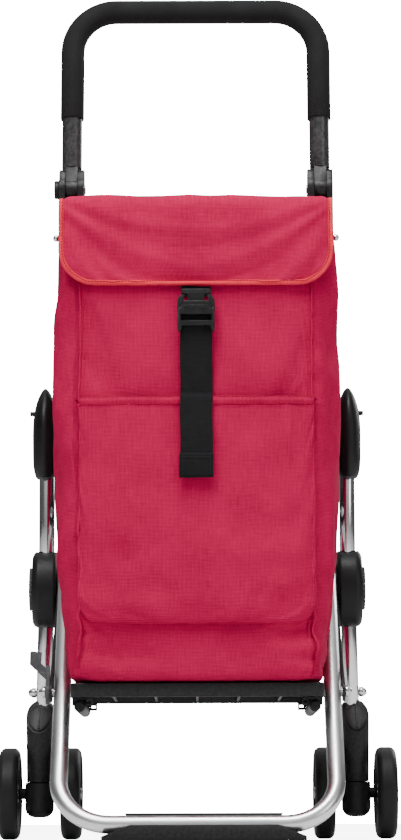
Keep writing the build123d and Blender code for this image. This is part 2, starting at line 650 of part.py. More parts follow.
# grey lever on the left end of the platform rod; its nose holds the stay while open
with BuildPart() as fold_latch:
    lever_in, lever_out = -(STAY_OUT + GAP), -(STAY_OUT + GAP + LEVER_THICK)
    with BuildSketch(Plane.YZ.offset(lever_out)):
        with Locations(ROD):
            Circle(9.5)
        with BuildLine():
            Polyline(
                (ROD[0] - 7, ROD[1]),
                (ROD[0] - 5, ROD[1] + 30),
                (ROD[0] + 5, ROD[1] + 30),
                (ROD[0] + 8, ROD[1]),
                (ROD[0] + 5, ROD[1] - 14),
                (ROD[0] - 4, ROD[1] - 14),
                close=True,
            )
        make_face()
        with Locations(ROD):
            Circle(PIN_R + RUN, mode=Mode.SUBTRACT)
    extrude(amount=LEVER_THICK)
    # neck that leads outwards to the finger paddle
    with BuildSketch(Plane.XZ.offset(-ROD[0] + 5)):
        with BuildLine():
            Polyline(
                (lever_in, ROD[1] + 14),
                (lever_in, ROD[1] + 24),
                (lever_out - 6, ROD[1] + 33),
                (lever_out - 5, ROD[1] + 45),
                (lever_out - 18, ROD[1] + 47),
                (lever_out - 18.5, ROD[1] + 31),
                (lever_out, ROD[1] + 14),
                close=True,
            )
        make_face()
    extrude(amount=-10)
    tip = fold_latch.edges().filter_by(Axis.Y).sort_by(Axis.X)[0:2]
    fillet(tip, 3.0)
save(fold_latch, "fold_latch")

# ---------------------------------------------------------------- handle
HANDLE_START, GRIP_START = 27.0, 92.4


def handle_run(start):
    """Centre line of the handle from one leg over the top to the other."""
    return FilletPolyline(
        (-FRAME_X, start),
        (-FRAME_X, HANDLE_LENGTH),
        (FRAME_X, HANDLE_LENGTH),
        (FRAME_X, start),
        radius=HANDLE_BEND,
    )


with BuildPart() as handle_tube:
    with BuildLine(HANDLE_PLANE) as run:
        handle_run(HANDLE_START)
    with BuildSketch(Plane(origin=run.line @ 0, z_dir=run.line % 0)):
        Circle(MAIN_R)
        Circle(MAIN_R - MAIN_WALL, mode=Mode.SUBTRACT)
    sweep()
save(handle_tube, "handle_tube")

with BuildPart() as handle_grip:
    with BuildLine(HANDLE_PLANE) as run:
        handle_run(GRIP_START)
    with BuildSketch(Plane(origin=run.line @ 0, z_dir=run.line % 0)):
        Circle(GRIP_R)
        Circle(MAIN_R + RUN, mode=Mode.SUBTRACT)
    sweep()
save(handle_grip, "handle_grip")

HANDLE_TOP = (HINGE[0] + HANDLE_LENGTH * sin(HANDLE_LEAN), TOP_Z)
KNUCKLE_HALF = CHEEK_GAP - GAP
with BuildPart() as handle_knuckles:
    for side, hand in SIDES:
        x = side * FRAME_X
        cross(x - KNUCKLE_HALF, x + KNUCKLE_HALF, HINGE, 14.0)
        start, end = at(x, HINGE), at(x, along(HINGE, HANDLE_TOP, HANDLE_START))
        with BuildSketch(Plane(origin=start, x_dir=(1, 0, 0), z_dir=end - start)):
            Rectangle(2 * KNUCKLE_HALF, 22.0)
        extrude(amount=HANDLE_START)
        inside = at(x, along(HINGE, HANDLE_TOP, HANDLE_START + SPIGOT))
        bar(end, inside, MAIN_R - MAIN_WALL - RUN)
    cross(-200, 200, HINGE, PIN_R + RUN, Mode.SUBTRACT)
save(handle_knuckles, "handle_knuckles")

# ---------------------------------------------------------------- bag
# half widths up the bag's sides, seen from the front
BAG_SIDES = (
    (BAG_LOW, 145.0), (230.0, 149.0), (330.0, 159.0), (430.0, 161.0), (600.0, 160.0), (BAG_HIGH, 155.0)
)
LEG_CLEAR = U_R + 5.0      # how far the bag stays in front of the U where it's wide


def bag_solid(inset, top):
    """The bag's outer form drawn in by inset: wide in front of the U, narrow behind."""
    low = BAG_LOW + inset
    front, back = BAG_FRONT + inset, BAG_BACK - inset
    depth, centre = back - front, (front + back) / 2
    with BuildPart(mode=Mode.PRIVATE) as form:
        with BuildSketch(Plane.XY.offset(low)):
            with Locations((0, centre)):
                RectangleRounded(2 * (161.0 - inset), depth, BAG_CORNER - inset)
        extrude(amount=top - low)
        with BuildSketch(Plane.XZ.offset(-back - 5)):
            with BuildLine():
                right = [(half - inset, max(z, low)) for z, half in BAG_SIDES[:-1]]
                right.append((BAG_SIDES[-1][1] - inset, top))
                Polyline(*right, *[(-a, b) for a, b in reversed(right)], close=True)
            make_face()
        extrude(amount=depth + 10, mode=Mode.INTERSECT)
        # behind the slanted line of the U's legs the bag is narrow
        shift = (LEG_CLEAR + inset) / cos(LEAN)
        slope = (KNEE[0] - BAR[0]) / (KNEE[1] - BAR[1])
        line_y = [KNEE[0] - shift - (KNEE[1] - z) * slope for z in (low - 20, KNEE[1] + 60)]
        for side, hand in SIDES:
            with BuildSketch(Plane.YZ.offset(side * (BAG_NARROW - inset))):
                with BuildLine():
                    Polyline(
                        (line_y[0], low - 20),
                        (line_y[1], KNEE[1] + 60),
                        (back + 80, KNEE[1] + 60),
                        (back + 80, low - 20),
                        close=True,
                    )
                make_face()
            extrude(amount=side * 60, mode=Mode.SUBTRACT)
    return form.part


bag_outer = bag_solid(0.0, BAG_HIGH)
bag_inner = bag_solid(BAG_WALL, BAG_HIGH + 10)
with BuildPart() as bag_body:
    add(bag_outer)
    add(bag_inner, mode=Mode.SUBTRACT)
    with BuildSketch(Plane.YZ.offset(-FLAP_HALF - 20)):
        with BuildLine():
            Polyline(
                (BAG_FRONT, RIM_FRONT),
                (BAG_BACK, BAG_HIGH),
                (BAG_BACK, BAG_HIGH + 20),
                (BAG_FRONT - 20, BAG_HIGH + 20),
                (BAG_FRONT - 20, RIM_FRONT),
                close=True,
            )
        make_face()
    extrude(amount=2 * (FLAP_HALF + 20), mode=Mode.SUBTRACT)
save(bag_body, "bag_body")

# pocket on the front panel, open along its upper hem
POCKET_WALL = 2.4


def pocket_outline(inset):
    """Side view of the pocket from the bag's front panel outwards."""
    wall = BAG_FRONT - 0.2
    with BuildLine() as outline:
        Polyline(
            (wall, POCKET_LOW + inset),
            (wall - POCKET_DEEP * 0.7 + inset, POCKET_LOW + inset),
            (wall - POCKET_DEEP + inset, POCKET_LOW + 22),
            (wall - POCKET_DEEP + inset, POCKET_HIGH - 120),
            (wall - POCKET_DEEP * 0.42 + inset, POCKET_HIGH + (inset > 0)),
            (wall, POCKET_HIGH + (inset > 0)),
            close=True,
        )
    return outline.line


with BuildPart() as bag_pocket:
    with BuildSketch(Plane.YZ.offset(-SEAM_X)):
        add(pocket_outline(0.0))
        make_face()
    extrude(amount=2 * SEAM_X)
    with BuildSketch(Plane.YZ.offset(-SEAM_X + POCKET_WALL)):
        add(pocket_outline(POCKET_WALL))
        make_face()
    extrude(amount=2 * (SEAM_X - POCKET_WALL), mode=Mode.SUBTRACT)
save(bag_pocket, "bag_pocket")

# ---------------------------------------------------------------- flap
FLAP_INNER = FLAP_HALF - BINDING_W
FLAP_NARROW = 138.0        # half width at the back, so that it opens between the handle's tubes
with BuildPart() as flap_panel:
    with BuildSketch(Plane.YZ.offset(-FLAP_INNER)):
        with BuildLine():
            Polyline(
                (FLAP_FRONT, FLAP_LOW + BINDING_W),
                (FLAP_FRONT, FLAP_FOLD),
                (BAG_BACK - 2, FLAP_TOP),
                (BAG_BACK - 2, FLAP_TOP - FLAP_THICK),
                (FLAP_FRONT + FLAP_THICK, FLAP_FOLD - FLAP_THICK),
                (FLAP_FRONT + FLAP_THICK, FLAP_LOW + BINDING_W),
                close=True,
            )
        make_face()
    extrude(amount=2 * FLAP_INNER)
    lower = flap_panel.edges().filter_by(Axis.Y).group_by(Axis.Z)[0]
    fillet(lower, FLAP_CORNER - BINDING_W)
    for side, hand in SIDES:
        with BuildSketch(Plane.XY.offset(FLAP_LOW)):
            with BuildLine():
                Polyline(
                    (side * (FLAP_INNER + 5), -18),
                    (side * FLAP_INNER, -18),
                    (side * FLAP_NARROW, 8),
                    (side * (FLAP_NARROW - 4), BAG_BACK + 5),
                    (side * (FLAP_INNER + 5), BAG_BACK + 5),
                    close=True,
                )
            make_face()
        extrude(amount=FLAP_TOP - FLAP_LOW + 10, mode=Mode.SUBTRACT)
save(flap_panel, "flap_panel")


def flap_outline(half, low, high, corner):
    """Front view of the flap's face: straight sides and rounded lower corners."""
    with BuildLine() as outline:
        Line((-half, high), (-half, low + corner))
        RadiusArc((-half, low + corner), (-half + corner, low), -corner)
        Line((-half + corner, low), (half - corner, low))
        RadiusArc((half - corner, low), (half, low + corner), -corner)
        Line((half, low + corner), (half, high))
        Line((half, high), (-half, high))
    return outline.line


with BuildPart() as flap_binding:
    with BuildSketch(Plane.XZ.offset(-FLAP_FRONT + 0.8)):
        add(flap_outline(FLAP_HALF, FLAP_LOW, FLAP_FOLD - 6, FLAP_CORNER))
        make_face()
        add(flap_outline(FLAP_INNER, FLAP_LOW + BINDING_W, FLAP_TOP, FLAP_CORNER - BINDING_W))
        make_face(mode=Mode.SUBTRACT)
    extrude(amount=-FLAP_THICK - 1.6)
save(flap_binding, "flap_binding")

# ---------------------------------------------------------------- strap and buckle
BUCKLE_Y, BUCKLE_HALF_T = -142.0, 5.0
HOUSING_LOW, HOUSING_HIGH, PLUG_HIGH = 571.0, 607.0, 621.0
POCKET_FACE = BAG_FRONT - 0.2 - POCKET_DEEP

with BuildPart() as strap:
    face = POCKET_FACE - GAP - STRAP_THICK
    with BuildSketch(Plane.YZ.offset(-STRAP_HALF)):
        with BuildLine():
            Polyline(
                (BUCKLE_Y - STRAP_THICK / 2, HOUSING_LOW + 6),
                (BUCKLE_Y - STRAP_THICK / 2, HOUSING_LOW - 12),
                (face, POCKET_HIGH - 60),
                (face, STRAP_LOW),
                (face + STRAP_THICK, STRAP_LOW),
                (face + STRAP_THICK, POCKET_HIGH - 60),
                (BUCKLE_Y + STRAP_THICK / 2, HOUSING_LOW - 12),
                (BUCKLE_Y + STRAP_THICK / 2, HOUSING_LOW + 6),
                close=True,
            )
        make_face()
    extrude(amount=2 * STRAP_HALF)
save(strap, "strap")

# female half: an open frame with side windows for the prongs
with BuildPart() as housing:
    block((-21.5, 21.5), (BUCKLE_Y - BUCKLE_HALF_T, BUCKLE_Y + BUCKLE_HALF_T), (HOUSING_LOW, HOUSING_HIGH))
    fillet(housing.edges().filter_by(Axis.Y), 3.0)
    block((-19.5, 19.5), (BUCKLE_Y - 6, BUCKLE_Y + 6), (HOUSING_LOW - 1, HOUSING_LOW + 7), Mode.SUBTRACT)
    block((-19.5, 19.5), (BUCKLE_Y - 6, BUCKLE_Y + 6), (HOUSING_LOW + 13, HOUSING_LOW + 19), Mode.SUBTRACT)
    block((-17.5, 17.5), (BUCKLE_Y - 3, BUCKLE_Y + 3), (HOUSING_LOW + 22, HOUSING_HIGH + 1), Mode.SUBTRACT)
    block((-30, 30), (BUCKLE_Y - 3, BUCKLE_Y + 3), (HOUSING_LOW + 24, HOUSING_HIGH + 1), Mode.SUBTRACT)
save(housing, "buckle_housing")

# male half: base bar and guide tongue; the two prongs are pressed towards it
with BuildPart() as plug:
    block((-17, 17), (BUCKLE_Y - 4.5, BUCKLE_Y + 4.5), (HOUSING_HIGH + 8, PLUG_HIGH))
    fillet(plug.edges().filter_by(Axis.Y), 2.0)
    block((-9, 9), (BUCKLE_Y - 2.6, BUCKLE_Y + 2.6), (HOUSING_HIGH - 12, HOUSING_HIGH + 8.5))
save(plug, "buckle_plug")

for side, hand in SIDES:
    with BuildPart() as prong:
        with BuildSketch(Plane.XZ.offset(-BUCKLE_Y - 2.6)):
            with BuildLine():
                Polyline(
                    (side * 13.0, HOUSING_HIGH + 7.4),
                    (side * 17.5, HOUSING_HIGH + 7.4),
                    (side * 21.3, HOUSING_HIGH + 1.0),
                    (side * 21.3, HOUSING_HIGH - 8.0),
                    (side * 16.5, HOUSING_HIGH - 9.5),
                    (side * 15.0, HOUSING_HIGH - 2.0),
                    close=True,
                )
            make_face()
        extrude(amount=5.2)
    save(prong, f"buckle_prong_{hand}")

print("parts written:", len([n for n in os.listdir("parts") if n.endswith(".step")]))
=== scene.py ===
import json
import math

import bpy
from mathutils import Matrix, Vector, noise


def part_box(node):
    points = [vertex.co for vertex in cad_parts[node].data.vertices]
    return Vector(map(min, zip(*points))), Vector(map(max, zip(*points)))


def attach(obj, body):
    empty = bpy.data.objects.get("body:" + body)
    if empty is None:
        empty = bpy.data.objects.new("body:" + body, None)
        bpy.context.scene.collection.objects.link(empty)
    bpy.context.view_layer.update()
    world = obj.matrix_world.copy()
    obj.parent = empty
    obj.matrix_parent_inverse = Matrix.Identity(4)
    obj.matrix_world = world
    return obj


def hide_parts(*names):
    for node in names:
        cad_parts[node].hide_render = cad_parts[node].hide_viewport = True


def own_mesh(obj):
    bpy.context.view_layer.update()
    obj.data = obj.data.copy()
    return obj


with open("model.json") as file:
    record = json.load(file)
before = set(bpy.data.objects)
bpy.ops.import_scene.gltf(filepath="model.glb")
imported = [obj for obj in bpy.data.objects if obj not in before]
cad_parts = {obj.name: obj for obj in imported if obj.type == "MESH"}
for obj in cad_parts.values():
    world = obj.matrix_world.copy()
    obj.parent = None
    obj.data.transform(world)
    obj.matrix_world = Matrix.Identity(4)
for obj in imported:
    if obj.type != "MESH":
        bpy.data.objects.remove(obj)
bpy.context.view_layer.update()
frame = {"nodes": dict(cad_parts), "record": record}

MM = 0.001
UP = Vector((0, 0, 1))
FORWARD = Vector((0, -1, 0))


# ------------------------------------------------------------------ node helpers
def put(tree, kind, settings=None, **inputs):
    """New node with its settings and its inputs; an underscore stands for a space."""
    made = tree.nodes.new(kind)
    for key, value in (settings or {}).items():
        setattr(made, key, value)
    for key, value in inputs.items():
        feed(tree, made.inputs[key.replace("_", " ")], value)
    return made


def feed(tree, socket, value):
    if isinstance(value, bpy.types.NodeSocket):
        tree.links.new(value, socket)
    else:
        socket.default_value = value


def calc(tree, operation, *values):
    """Result of a Math node."""
    made = tree.nodes.new("ShaderNodeMath")
    made.operation = operation
    for socket, value in zip(made.inputs, values):
        feed(tree, socket, value)
    return made.outputs[0]


def blend_colour(tree, share, first, second, mode="MIX"):
    """Colour between two colours, or a linked one and a tint."""
    made = tree.nodes.new("ShaderNodeMix")
    made.data_type = "RGBA"
    made.blend_type = mode
    feed(tree, made.inputs[0], share)
    feed(tree, made.inputs[6], first)
    feed(tree, made.inputs[7], second)
    return made.outputs[2]


def spread(tree, value, low, high, to_low=0.0, to_high=1.0):
    """Value moved from one range to another and held inside it."""
    made = put(tree, "ShaderNodeMapRange", Value=value)
    for name, number in (("From Min", low), ("From Max", high), ("To Min", to_low), ("To Max", to_high)):
        made.inputs[name].default_value = number
    return made.outputs[0]


def group(name, inputs, outputs):
    """Empty shader group: name, its input sockets with their defaults, its outputs."""
    tree = bpy.data.node_groups.new(name, "ShaderNodeTree")
    for label, kind, default in inputs:
        socket = tree.interface.new_socket(label, in_out="INPUT", socket_type=kind)
        if default is not None:
            socket.default_value = default
    for label, kind in outputs:
        tree.interface.new_socket(label, in_out="OUTPUT", socket_type=kind)
    return tree, tree.nodes.new("NodeGroupInput"), tree.nodes.new("NodeGroupOutput")


def use(tree, made_group, **inputs):
    """A group placed in a material, with that material's own values."""
    made = tree.nodes.new("ShaderNodeGroup")
    made.node_tree = made_group
    for key, value in inputs.items():
        feed(tree, made.inputs[key.replace("_", " ")], value)
    return made


VECTOR, FLOAT = "NodeSocketVector", "NodeSocketFloat"


# ------------------------------------------------------------------ shared effects
def make_weave():
    """Plain weave: crossing threads as a height, and each thread's crown as a share from 0 to 1, which the
    cloth also uses for painted shade in the hollows between threads.
    """
    tree, given, result = group(
        "plain weave",
        [("Vector", VECTOR, None), ("Pitch", FLOAT, 0.001), ("Rib", FLOAT, 0.0)],
        [("Height", FLOAT), ("Crown", FLOAT)],
    )
    split = put(tree, "ShaderNodeSeparateXYZ", Vector=given.outputs["Vector"])
    turns = calc(tree, "DIVIDE", math.pi, given.outputs["Pitch"])
    across = calc(tree, "SINE", calc(tree, "MULTIPLY", split.outputs[0], turns))
    along = calc(tree, "SINE", calc(tree, "MULTIPLY", split.outputs[1], turns))
    over = calc(tree, "MULTIPLY", across, along)
    lift = calc(tree, "MULTIPLY", over, 0.38)
    warp = calc(tree, "MULTIPLY", calc(tree, "ABSOLUTE", across), calc(tree, "ADD", 0.62, lift))
    weft = calc(tree, "MULTIPLY", calc(tree, "ABSOLUTE", along), calc(tree, "SUBTRACT", 0.62, lift))
    weft = calc(tree, "MULTIPLY", weft, calc(tree, "ADD", 1.0, given.outputs["Rib"]))
    crown = calc(tree, "MAXIMUM", warp, weft)
    feed(tree, result.inputs["Height"], crown)
    feed(tree, result.inputs["Crown"], spread(tree, crown, 0.3, 0.95))
    return tree


def make_slub():
    """Uneven yarn: streaks along both thread directions, as a shade about 0.5."""
    tree, given, result = group(
        "uneven yarn", [("Vector", VECTOR, None), ("Length", FLOAT, 0.02)], [("Shade", FLOAT)]
    )
    scale = calc(tree, "DIVIDE", 1.0, given.outputs["Length"])
    shades = []
    for stretch in ((1.0, 16.0, 1.0), (16.0, 1.0, 1.0)):
        mapped = put(tree, "ShaderNodeMapping", Vector=given.outputs["Vector"], Scale=stretch)
        streak = put(tree, "ShaderNodeTexNoise", Vector=mapped.outputs[0], Scale=scale, Detail=3.0)
        shades.append(streak.outputs[0])
    feed(tree, result.inputs["Shade"], calc(tree, "MULTIPLY", calc(tree, "ADD", *shades), 0.5))
    return tree


def make_crease():
    """Soft creases of handled cloth, as a height, and a slow change of shade."""
    tree, given, result = group(
        "soft creases",
        [("Vector", VECTOR, None), ("Size", FLOAT, 0.05)],
        [("Height", FLOAT), ("Shade", FLOAT)],
    )
    scale = calc(tree, "DIVIDE", 1.0, given.outputs["Size"])
    fold = put(
        tree, "ShaderNodeTexNoise", {"noise_type": "RIDGED_MULTIFRACTAL"},
        Vector=given.outputs["Vector"], Scale=scale, Detail=2.0, Distortion=0.6,
    )
    slow = put(tree, "ShaderNodeTexNoise", Vector=given.outputs["Vector"], Scale=scale, Detail=1.0)
    feed(tree, result.inputs["Height"], calc(tree, "MULTIPLY", fold.outputs[0], 0.5))
    feed(tree, result.inputs["Shade"], slow.outputs[0])
    return tree


def make_grain():
    """Spark-eroded grain of moulded plastic and the pores of foam, as a height."""
    tree, given, result = group(
        "moulded grain",
        [("Vector", VECTOR, None), ("Size", FLOAT, 0.001)],
        [("Height", FLOAT), ("Patch", FLOAT)],
    )
    scale = calc(tree, "DIVIDE", 1.0, given.outputs["Size"])
    fine = put(tree, "ShaderNodeTexNoise", Vector=given.outputs["Vector"], Scale=scale, Detail=2.0)
    pores = put(tree, "ShaderNodeTexVoronoi", Vector=given.outputs["Vector"], Scale=scale)
    patch = put(tree, "ShaderNodeTexNoise", Vector=given.outputs["Vector"], Scale=38.0, Detail=3.0)
    deep = calc(tree, "MULTIPLY", pores.outputs[0], 0.5)
    feed(tree, result.inputs["Height"], calc(tree, "ADD", fine.outputs[0], deep))
    feed(tree, result.inputs["Patch"], patch.outputs[0])
    return tree


def make_wear():
    """Rubbed edges: a mask from how sharply the surface turns, broken up by noise."""
    tree, given, result = group(
        "rubbed edges", [("Vector", VECTOR, None), ("Amount", FLOAT, 0.5)], [("Mask", FLOAT)]
    )
    turn = put(tree, "ShaderNodeNewGeometry")
    edge = spread(tree, turn.outputs["Pointiness"], 0.505, 0.56)
    broken = put(tree, "ShaderNodeTexNoise", Vector=given.outputs["Vector"], Scale=260.0, Detail=4.0)
    mask = calc(tree, "MULTIPLY", edge, spread(tree, broken.outputs[0], 0.35, 0.65))
    feed(tree, result.inputs["Mask"], calc(tree, "MULTIPLY", mask, given.outputs["Amount"]))
    return tree


def make_brushing():
    """Fine lines drawn along a tube or round a nut, as a height and a change of gloss."""
    tree, given, result = group(
        "drawn lines",
        [("Vector", VECTOR, None), ("Stretch", VECTOR, (1.0, 1.0, 1.0))],
        [("Height", FLOAT), ("Gloss", FLOAT)],
    )
    mapped = put(tree, "ShaderNodeVectorMath", {"operation": "MULTIPLY"})
    feed(tree, mapped.inputs[0], given.outputs["Vector"])
    feed(tree, mapped.inputs[1], given.outputs["Stretch"])
    lines = put(tree, "ShaderNodeTexNoise", Vector=mapped.outputs[0], Scale=900.0, Detail=2.0)
    smears = put(tree, "ShaderNodeTexNoise", Vector=given.outputs["Vector"], Scale=24.0, Detail=3.0)
    feed(tree, result.inputs["Height"], lines.outputs[0])
    feed(tree, result.inputs["Gloss"], smears.outputs[0])
    return tree


WEAVE, SLUB, CREASE = make_weave(), make_slub(), make_crease()
GRAIN, WEAR, BRUSHING = make_grain(), make_wear(), make_brushing()


# ------------------------------------------------------------------ materials
def material(name):
    """New material: its tree, its Principled shader, and its coordinates in metres."""
    made = bpy.data.materials.new(name)
    made.use_nodes = True
    tree = made.node_tree
    shader = tree.nodes["Principled BSDF"]
    place = put(tree, "ShaderNodeTexCoord").outputs["Object"]
    return made, tree, shader, place


def bump(tree, shader, height, distance, strength=1.0, under=None):
    made = put(tree, "ShaderNodeBump", Height=height, Strength=strength, Distance=distance)
    if under is not None:
        feed(tree, made.inputs["Normal"], under)
    feed(tree, shader.inputs["Normal"], made.outputs[0])
    return made.outputs[0]


def brighter(colour, times):
    return tuple(c * times for c in colour[:3]) + (1.0,)


def cloth_material(name, dark, light, pitch, slub, crease, rib=0.0, sheen=0.03, depth=0.0004):
    """Woven cloth on its own flat coordinates, with uneven yarn, soft creases, and painted shade darkening
    the hollows between threads.
    """
    made, tree, shader, place = material(name)
    flat = put(tree, "ShaderNodeUVMap", {"uv_map": "cloth"}).outputs[0]
    weave = use(tree, WEAVE, Vector=flat, Pitch=pitch, Rib=rib)
    yarn = use(tree, SLUB, Vector=flat, Length=slub)
    folds = use(tree, CREASE, Vector=place, Size=crease)
    streaks = spread(tree, yarn.outputs["Shade"], 0.36, 0.64, 0.0, 0.32)
    # Painted shade: the colour runs from the dark colour in the hollows between threads to the light colour
    # on each thread's crown, on top of the uneven yarn's streaks.
    yarn_tone_and_weave_shade = calc(tree, "ADD", streaks, calc(tree, "MULTIPLY", weave.outputs["Crown"], 0.68))
    colour = blend_colour(tree, yarn_tone_and_weave_shade, dark, light)
    worn = spread(tree, folds.outputs["Shade"], 0.3, 0.7, 0.0, 0.16)
    faded = brighter(light, 1.3)
    feed(tree, shader.inputs["Base Color"], blend_colour(tree, worn, colour, faded))
    feed(tree, shader.inputs["Roughness"], spread(tree, weave.outputs["Crown"], 0.0, 1.0, 0.92, 0.74))
    shader.inputs["Sheen Weight"].default_value = sheen
    shader.inputs["Sheen Roughness"].default_value = 0.45
    tint = (min(1.0, light[0] * 1.5), light[1] + 0.05, light[2] + 0.08, 1.0)
    shader.inputs["Sheen Tint"].default_value = tint
    shader.inputs["Specular IOR Level"].default_value = 0.1
    soft = put(tree, "ShaderNodeBump", Height=folds.outputs["Height"], Strength=0.35, Distance=0.0022)
    bump(tree, shader, weave.outputs["Height"], depth, 0.9, soft.outputs[0])
    return made


def plastic_material(name, colour, worn, grain, rough, depth=0.00008, wear=0.6):
    """Moulded plastic or rubber: grained, a little uneven in gloss, paler on its edges."""
    made, tree, shader, place = material(name)
    skin = use(tree, GRAIN, Vector=place, Size=grain)
    edges = use(tree, WEAR, Vector=place, Amount=wear)
    patch = spread(tree, skin.outputs["Patch"], 0.35, 0.65, 0.0, 0.5)
    base = blend_colour(tree, patch, colour, brighter(colour, 1.5))
    feed(tree, shader.inputs["Base Color"], blend_colour(tree, edges.outputs["Mask"], base, worn))
    matt = spread(tree, skin.outputs["Patch"], 0.3, 0.7, rough - 0.06, rough + 0.08)
    feed(tree, shader.inputs["Roughness"], matt)
    shader.inputs["Specular IOR Level"].default_value = 0.28
    bump(tree, shader, skin.outputs["Height"], depth, 0.8)
    return made


def metal_material(name, colour, rough, stretch, depth=0.00002, coat=0.0):
    """Drawn or plated metal with lines along it and slow smears in its gloss."""
    made, tree, shader, place = material(name)
    lines = use(tree, BRUSHING, Vector=place, Stretch=stretch)
    dull = spread(tree, lines.outputs["Gloss"], 0.35, 0.68)
    share = calc(tree, "MULTIPLY", dull, 0.18)
    feed(tree, shader.inputs["Base Color"], blend_colour(tree, share, colour, (0.45, 0.45, 0.46, 1.0)))
    matt = spread(tree, lines.outputs["Gloss"], 0.3, 0.7, rough - 0.05, rough + 0.09)
    feed(tree, shader.inputs["Roughness"], matt)
    shader.inputs["Metallic"].default_value = 1.0
    shader.inputs["Coat Weight"].default_value = coat
    bump(tree, shader, lines.outputs["Height"], depth, 0.6)
    return made


def paint_material(name, colour):
    """Satin powder coat with a faint orange peel."""
    made, tree, shader, place = material(name)
    skin = use(tree, GRAIN, Vector=place, Size=0.0022)
    edges = use(tree, WEAR, Vector=place, Amount=0.35)
    patch = spread(tree, skin.outputs["Patch"], 0.3, 0.7, 0.0, 0.4)
    base = blend_colour(tree, patch, colour, (0.05, 0.05, 0.052, 1.0))
    rubbed = blend_colour(tree, edges.outputs["Mask"], base, (0.16, 0.16, 0.165, 1.0))
    feed(tree, shader.inputs["Base Color"], rubbed)
    feed(tree, shader.inputs["Roughness"], spread(tree, skin.outputs["Patch"], 0.3, 0.7, 0.30, 0.40))
    bump(tree, shader, skin.outputs["Height"], 0.00006, 0.5)
    return made


CRIMSON = cloth_material(
    "crimson polyester", (0.22, 0.0008, 0.022, 1), (0.68, 0.006, 0.092, 1),
    0.0015, 0.018, 0.05,
)
CORAL = cloth_material(
    "coral binding tape", (0.62, 0.012, 0.035, 1), (0.95, 0.045, 0.085, 1),
    0.0008, 0.008, 0.03, rib=0.25,
)
WEBBING = cloth_material(
    "black webbing", (0.003, 0.003, 0.0035, 1), (0.016, 0.016, 0.017, 1),
    0.0016, 0.02, 0.04, rib=0.5, sheen=0.15, depth=0.0005,
)
THREAD = cloth_material(
    "crimson sewing thread", (0.34, 0.004, 0.02, 1), (0.72, 0.02, 0.07, 1),
    0.0006, 0.01, 0.02,
)
CORAL_THREAD = cloth_material(
    "coral sewing thread", (0.30, 0.003, 0.012, 1), (0.50, 0.01, 0.02, 1),
    0.0006, 0.01, 0.02,
)
BLACK_THREAD = cloth_material(
    "black sewing thread", (0.008, 0.008, 0.008, 1), (0.04, 0.04, 0.04, 1),
    0.0006, 0.01, 0.02,
)
BLACK_PLASTIC = plastic_material(
    "black moulded plastic", (0.006, 0.006, 0.0065, 1), (0.035, 0.035, 0.037, 1),
    0.0009, 0.42,
)
GREY_PLASTIC = plastic_material(
    "grey moulded plastic", (0.05, 0.051, 0.054, 1), (0.14, 0.14, 0.14, 1),
    0.0009, 0.48,
)
FOAM = plastic_material(
    "closed-cell foam", (0.006, 0.006, 0.0065, 1), (0.02, 0.02, 0.02, 1),
    0.0016, 0.86, depth=0.00035, wear=0.2,
)
TYRE = plastic_material(
    "tyre rubber", (0.006, 0.006, 0.0065, 1), (0.03, 0.03, 0.03, 1),
    0.0012, 0.5, depth=0.0001, wear=0.4,
)
FOOT_RUBBER = plastic_material(
    "foot rubber", (0.005, 0.005, 0.005, 1), (0.025, 0.025, 0.025, 1),
    0.0010, 0.62, depth=0.00012,
)
SATIN_ALUMINIUM = metal_material("satin aluminium tube", (0.80, 0.81, 0.82, 1), 0.30, (1.0, 0.06, 0.06))
POLISHED_TUBE = metal_material("polished tube", (0.86, 0.86, 0.87, 1), 0.13, (1.0, 1.0, 0.04))
PLATED_STEEL = metal_material("plated steel", (0.72, 0.72, 0.73, 1), 0.18, (0.1, 1.0, 1.0))
BLACK_PAINT = paint_material("satin black powder coat", (0.009, 0.009, 0.0095, 1))

BY_SLOT = {
    "black_tube": BLACK_PAINT,
    "black_plastic": BLACK_PLASTIC,
    "grey_plastic": GREY_PLASTIC,
    "aluminium": SATIN_ALUMINIUM,
    "steel": PLATED_STEEL,
    "tyre": TYRE,
    "foot_rubber": FOOT_RUBBER,
    "foam": FOAM,
    "bag_fabric": CRIMSON,
    "binding_tape": CORAL,
    "webbing": WEBBING,
}


def dress_frame():
    """Finishes on the CAD nodes, with softened edges that catch the light."""
    for row in frame["record"]["subparts"]:
        node = frame["nodes"][row["node"]]
        finish = BY_SLOT[row["material_slot"]]
        if row["node"].startswith(("strut", "leg_tube")):
            finish = POLISHED_TUBE
        node.data.materials.clear()
        node.data.materials.append(finish)
        weld = node.modifiers.new("weld", "WELD")
        weld.merge_threshold = 0.00001
        soft = node.modifiers.new("soft edges", "BEVEL")
        soft.width, soft.segments = 0.0005, 2
        soft.limit_method, soft.angle_limit = "ANGLE", math.radians(38)
        soft.harden_normals = True
        node.data.shade_smooth()


# ------------------------------------------------------------------ mesh helpers
def mesh_piece(name, points, faces, flats=None, finish=None, body="rear_frame"):
    """New piece from points and faces. flats gives the cloth coordinates of each point."""
    data = bpy.data.meshes.new(name)
    data.from_pydata([tuple(p) for p in points], [], faces)
    piece = bpy.data.objects.new(name, data)
    bpy.context.scene.collection.objects.link(piece)
    if flats is not None:
        layer = data.uv_layers.new(name="cloth")
        for loop in data.loops:
            layer.data[loop.index].uv = flats[loop.vertex_index]
    data.shade_smooth()
    data.materials.append(finish)
    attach(piece, body)
    return piece


def grid_faces(columns, rows, closed=False):
    """Quads of a grid stored row by row; closed joins the last column to the first."""
    faces = []
    for r in range(rows - 1):
        for c in range(columns if closed else columns - 1):
            n = (c + 1) % columns
            faces.append((r * columns + c, r * columns + n, (r + 1) * columns + n, (r + 1) * columns + c))
    return faces


def thicken(piece, thickness, offset=-1.0):
    """Gives a sheet its thickness, inwards unless offset says otherwise."""
    solid = piece.modifiers.new("thickness", "SOLIDIFY")
    solid.thickness, solid.offset = thickness, offset
    return piece


def smooth_more(piece, levels=1):
    step = piece.modifiers.new("smooth", "SUBSURF")
    step.levels = step.render_levels = levels
    return piece


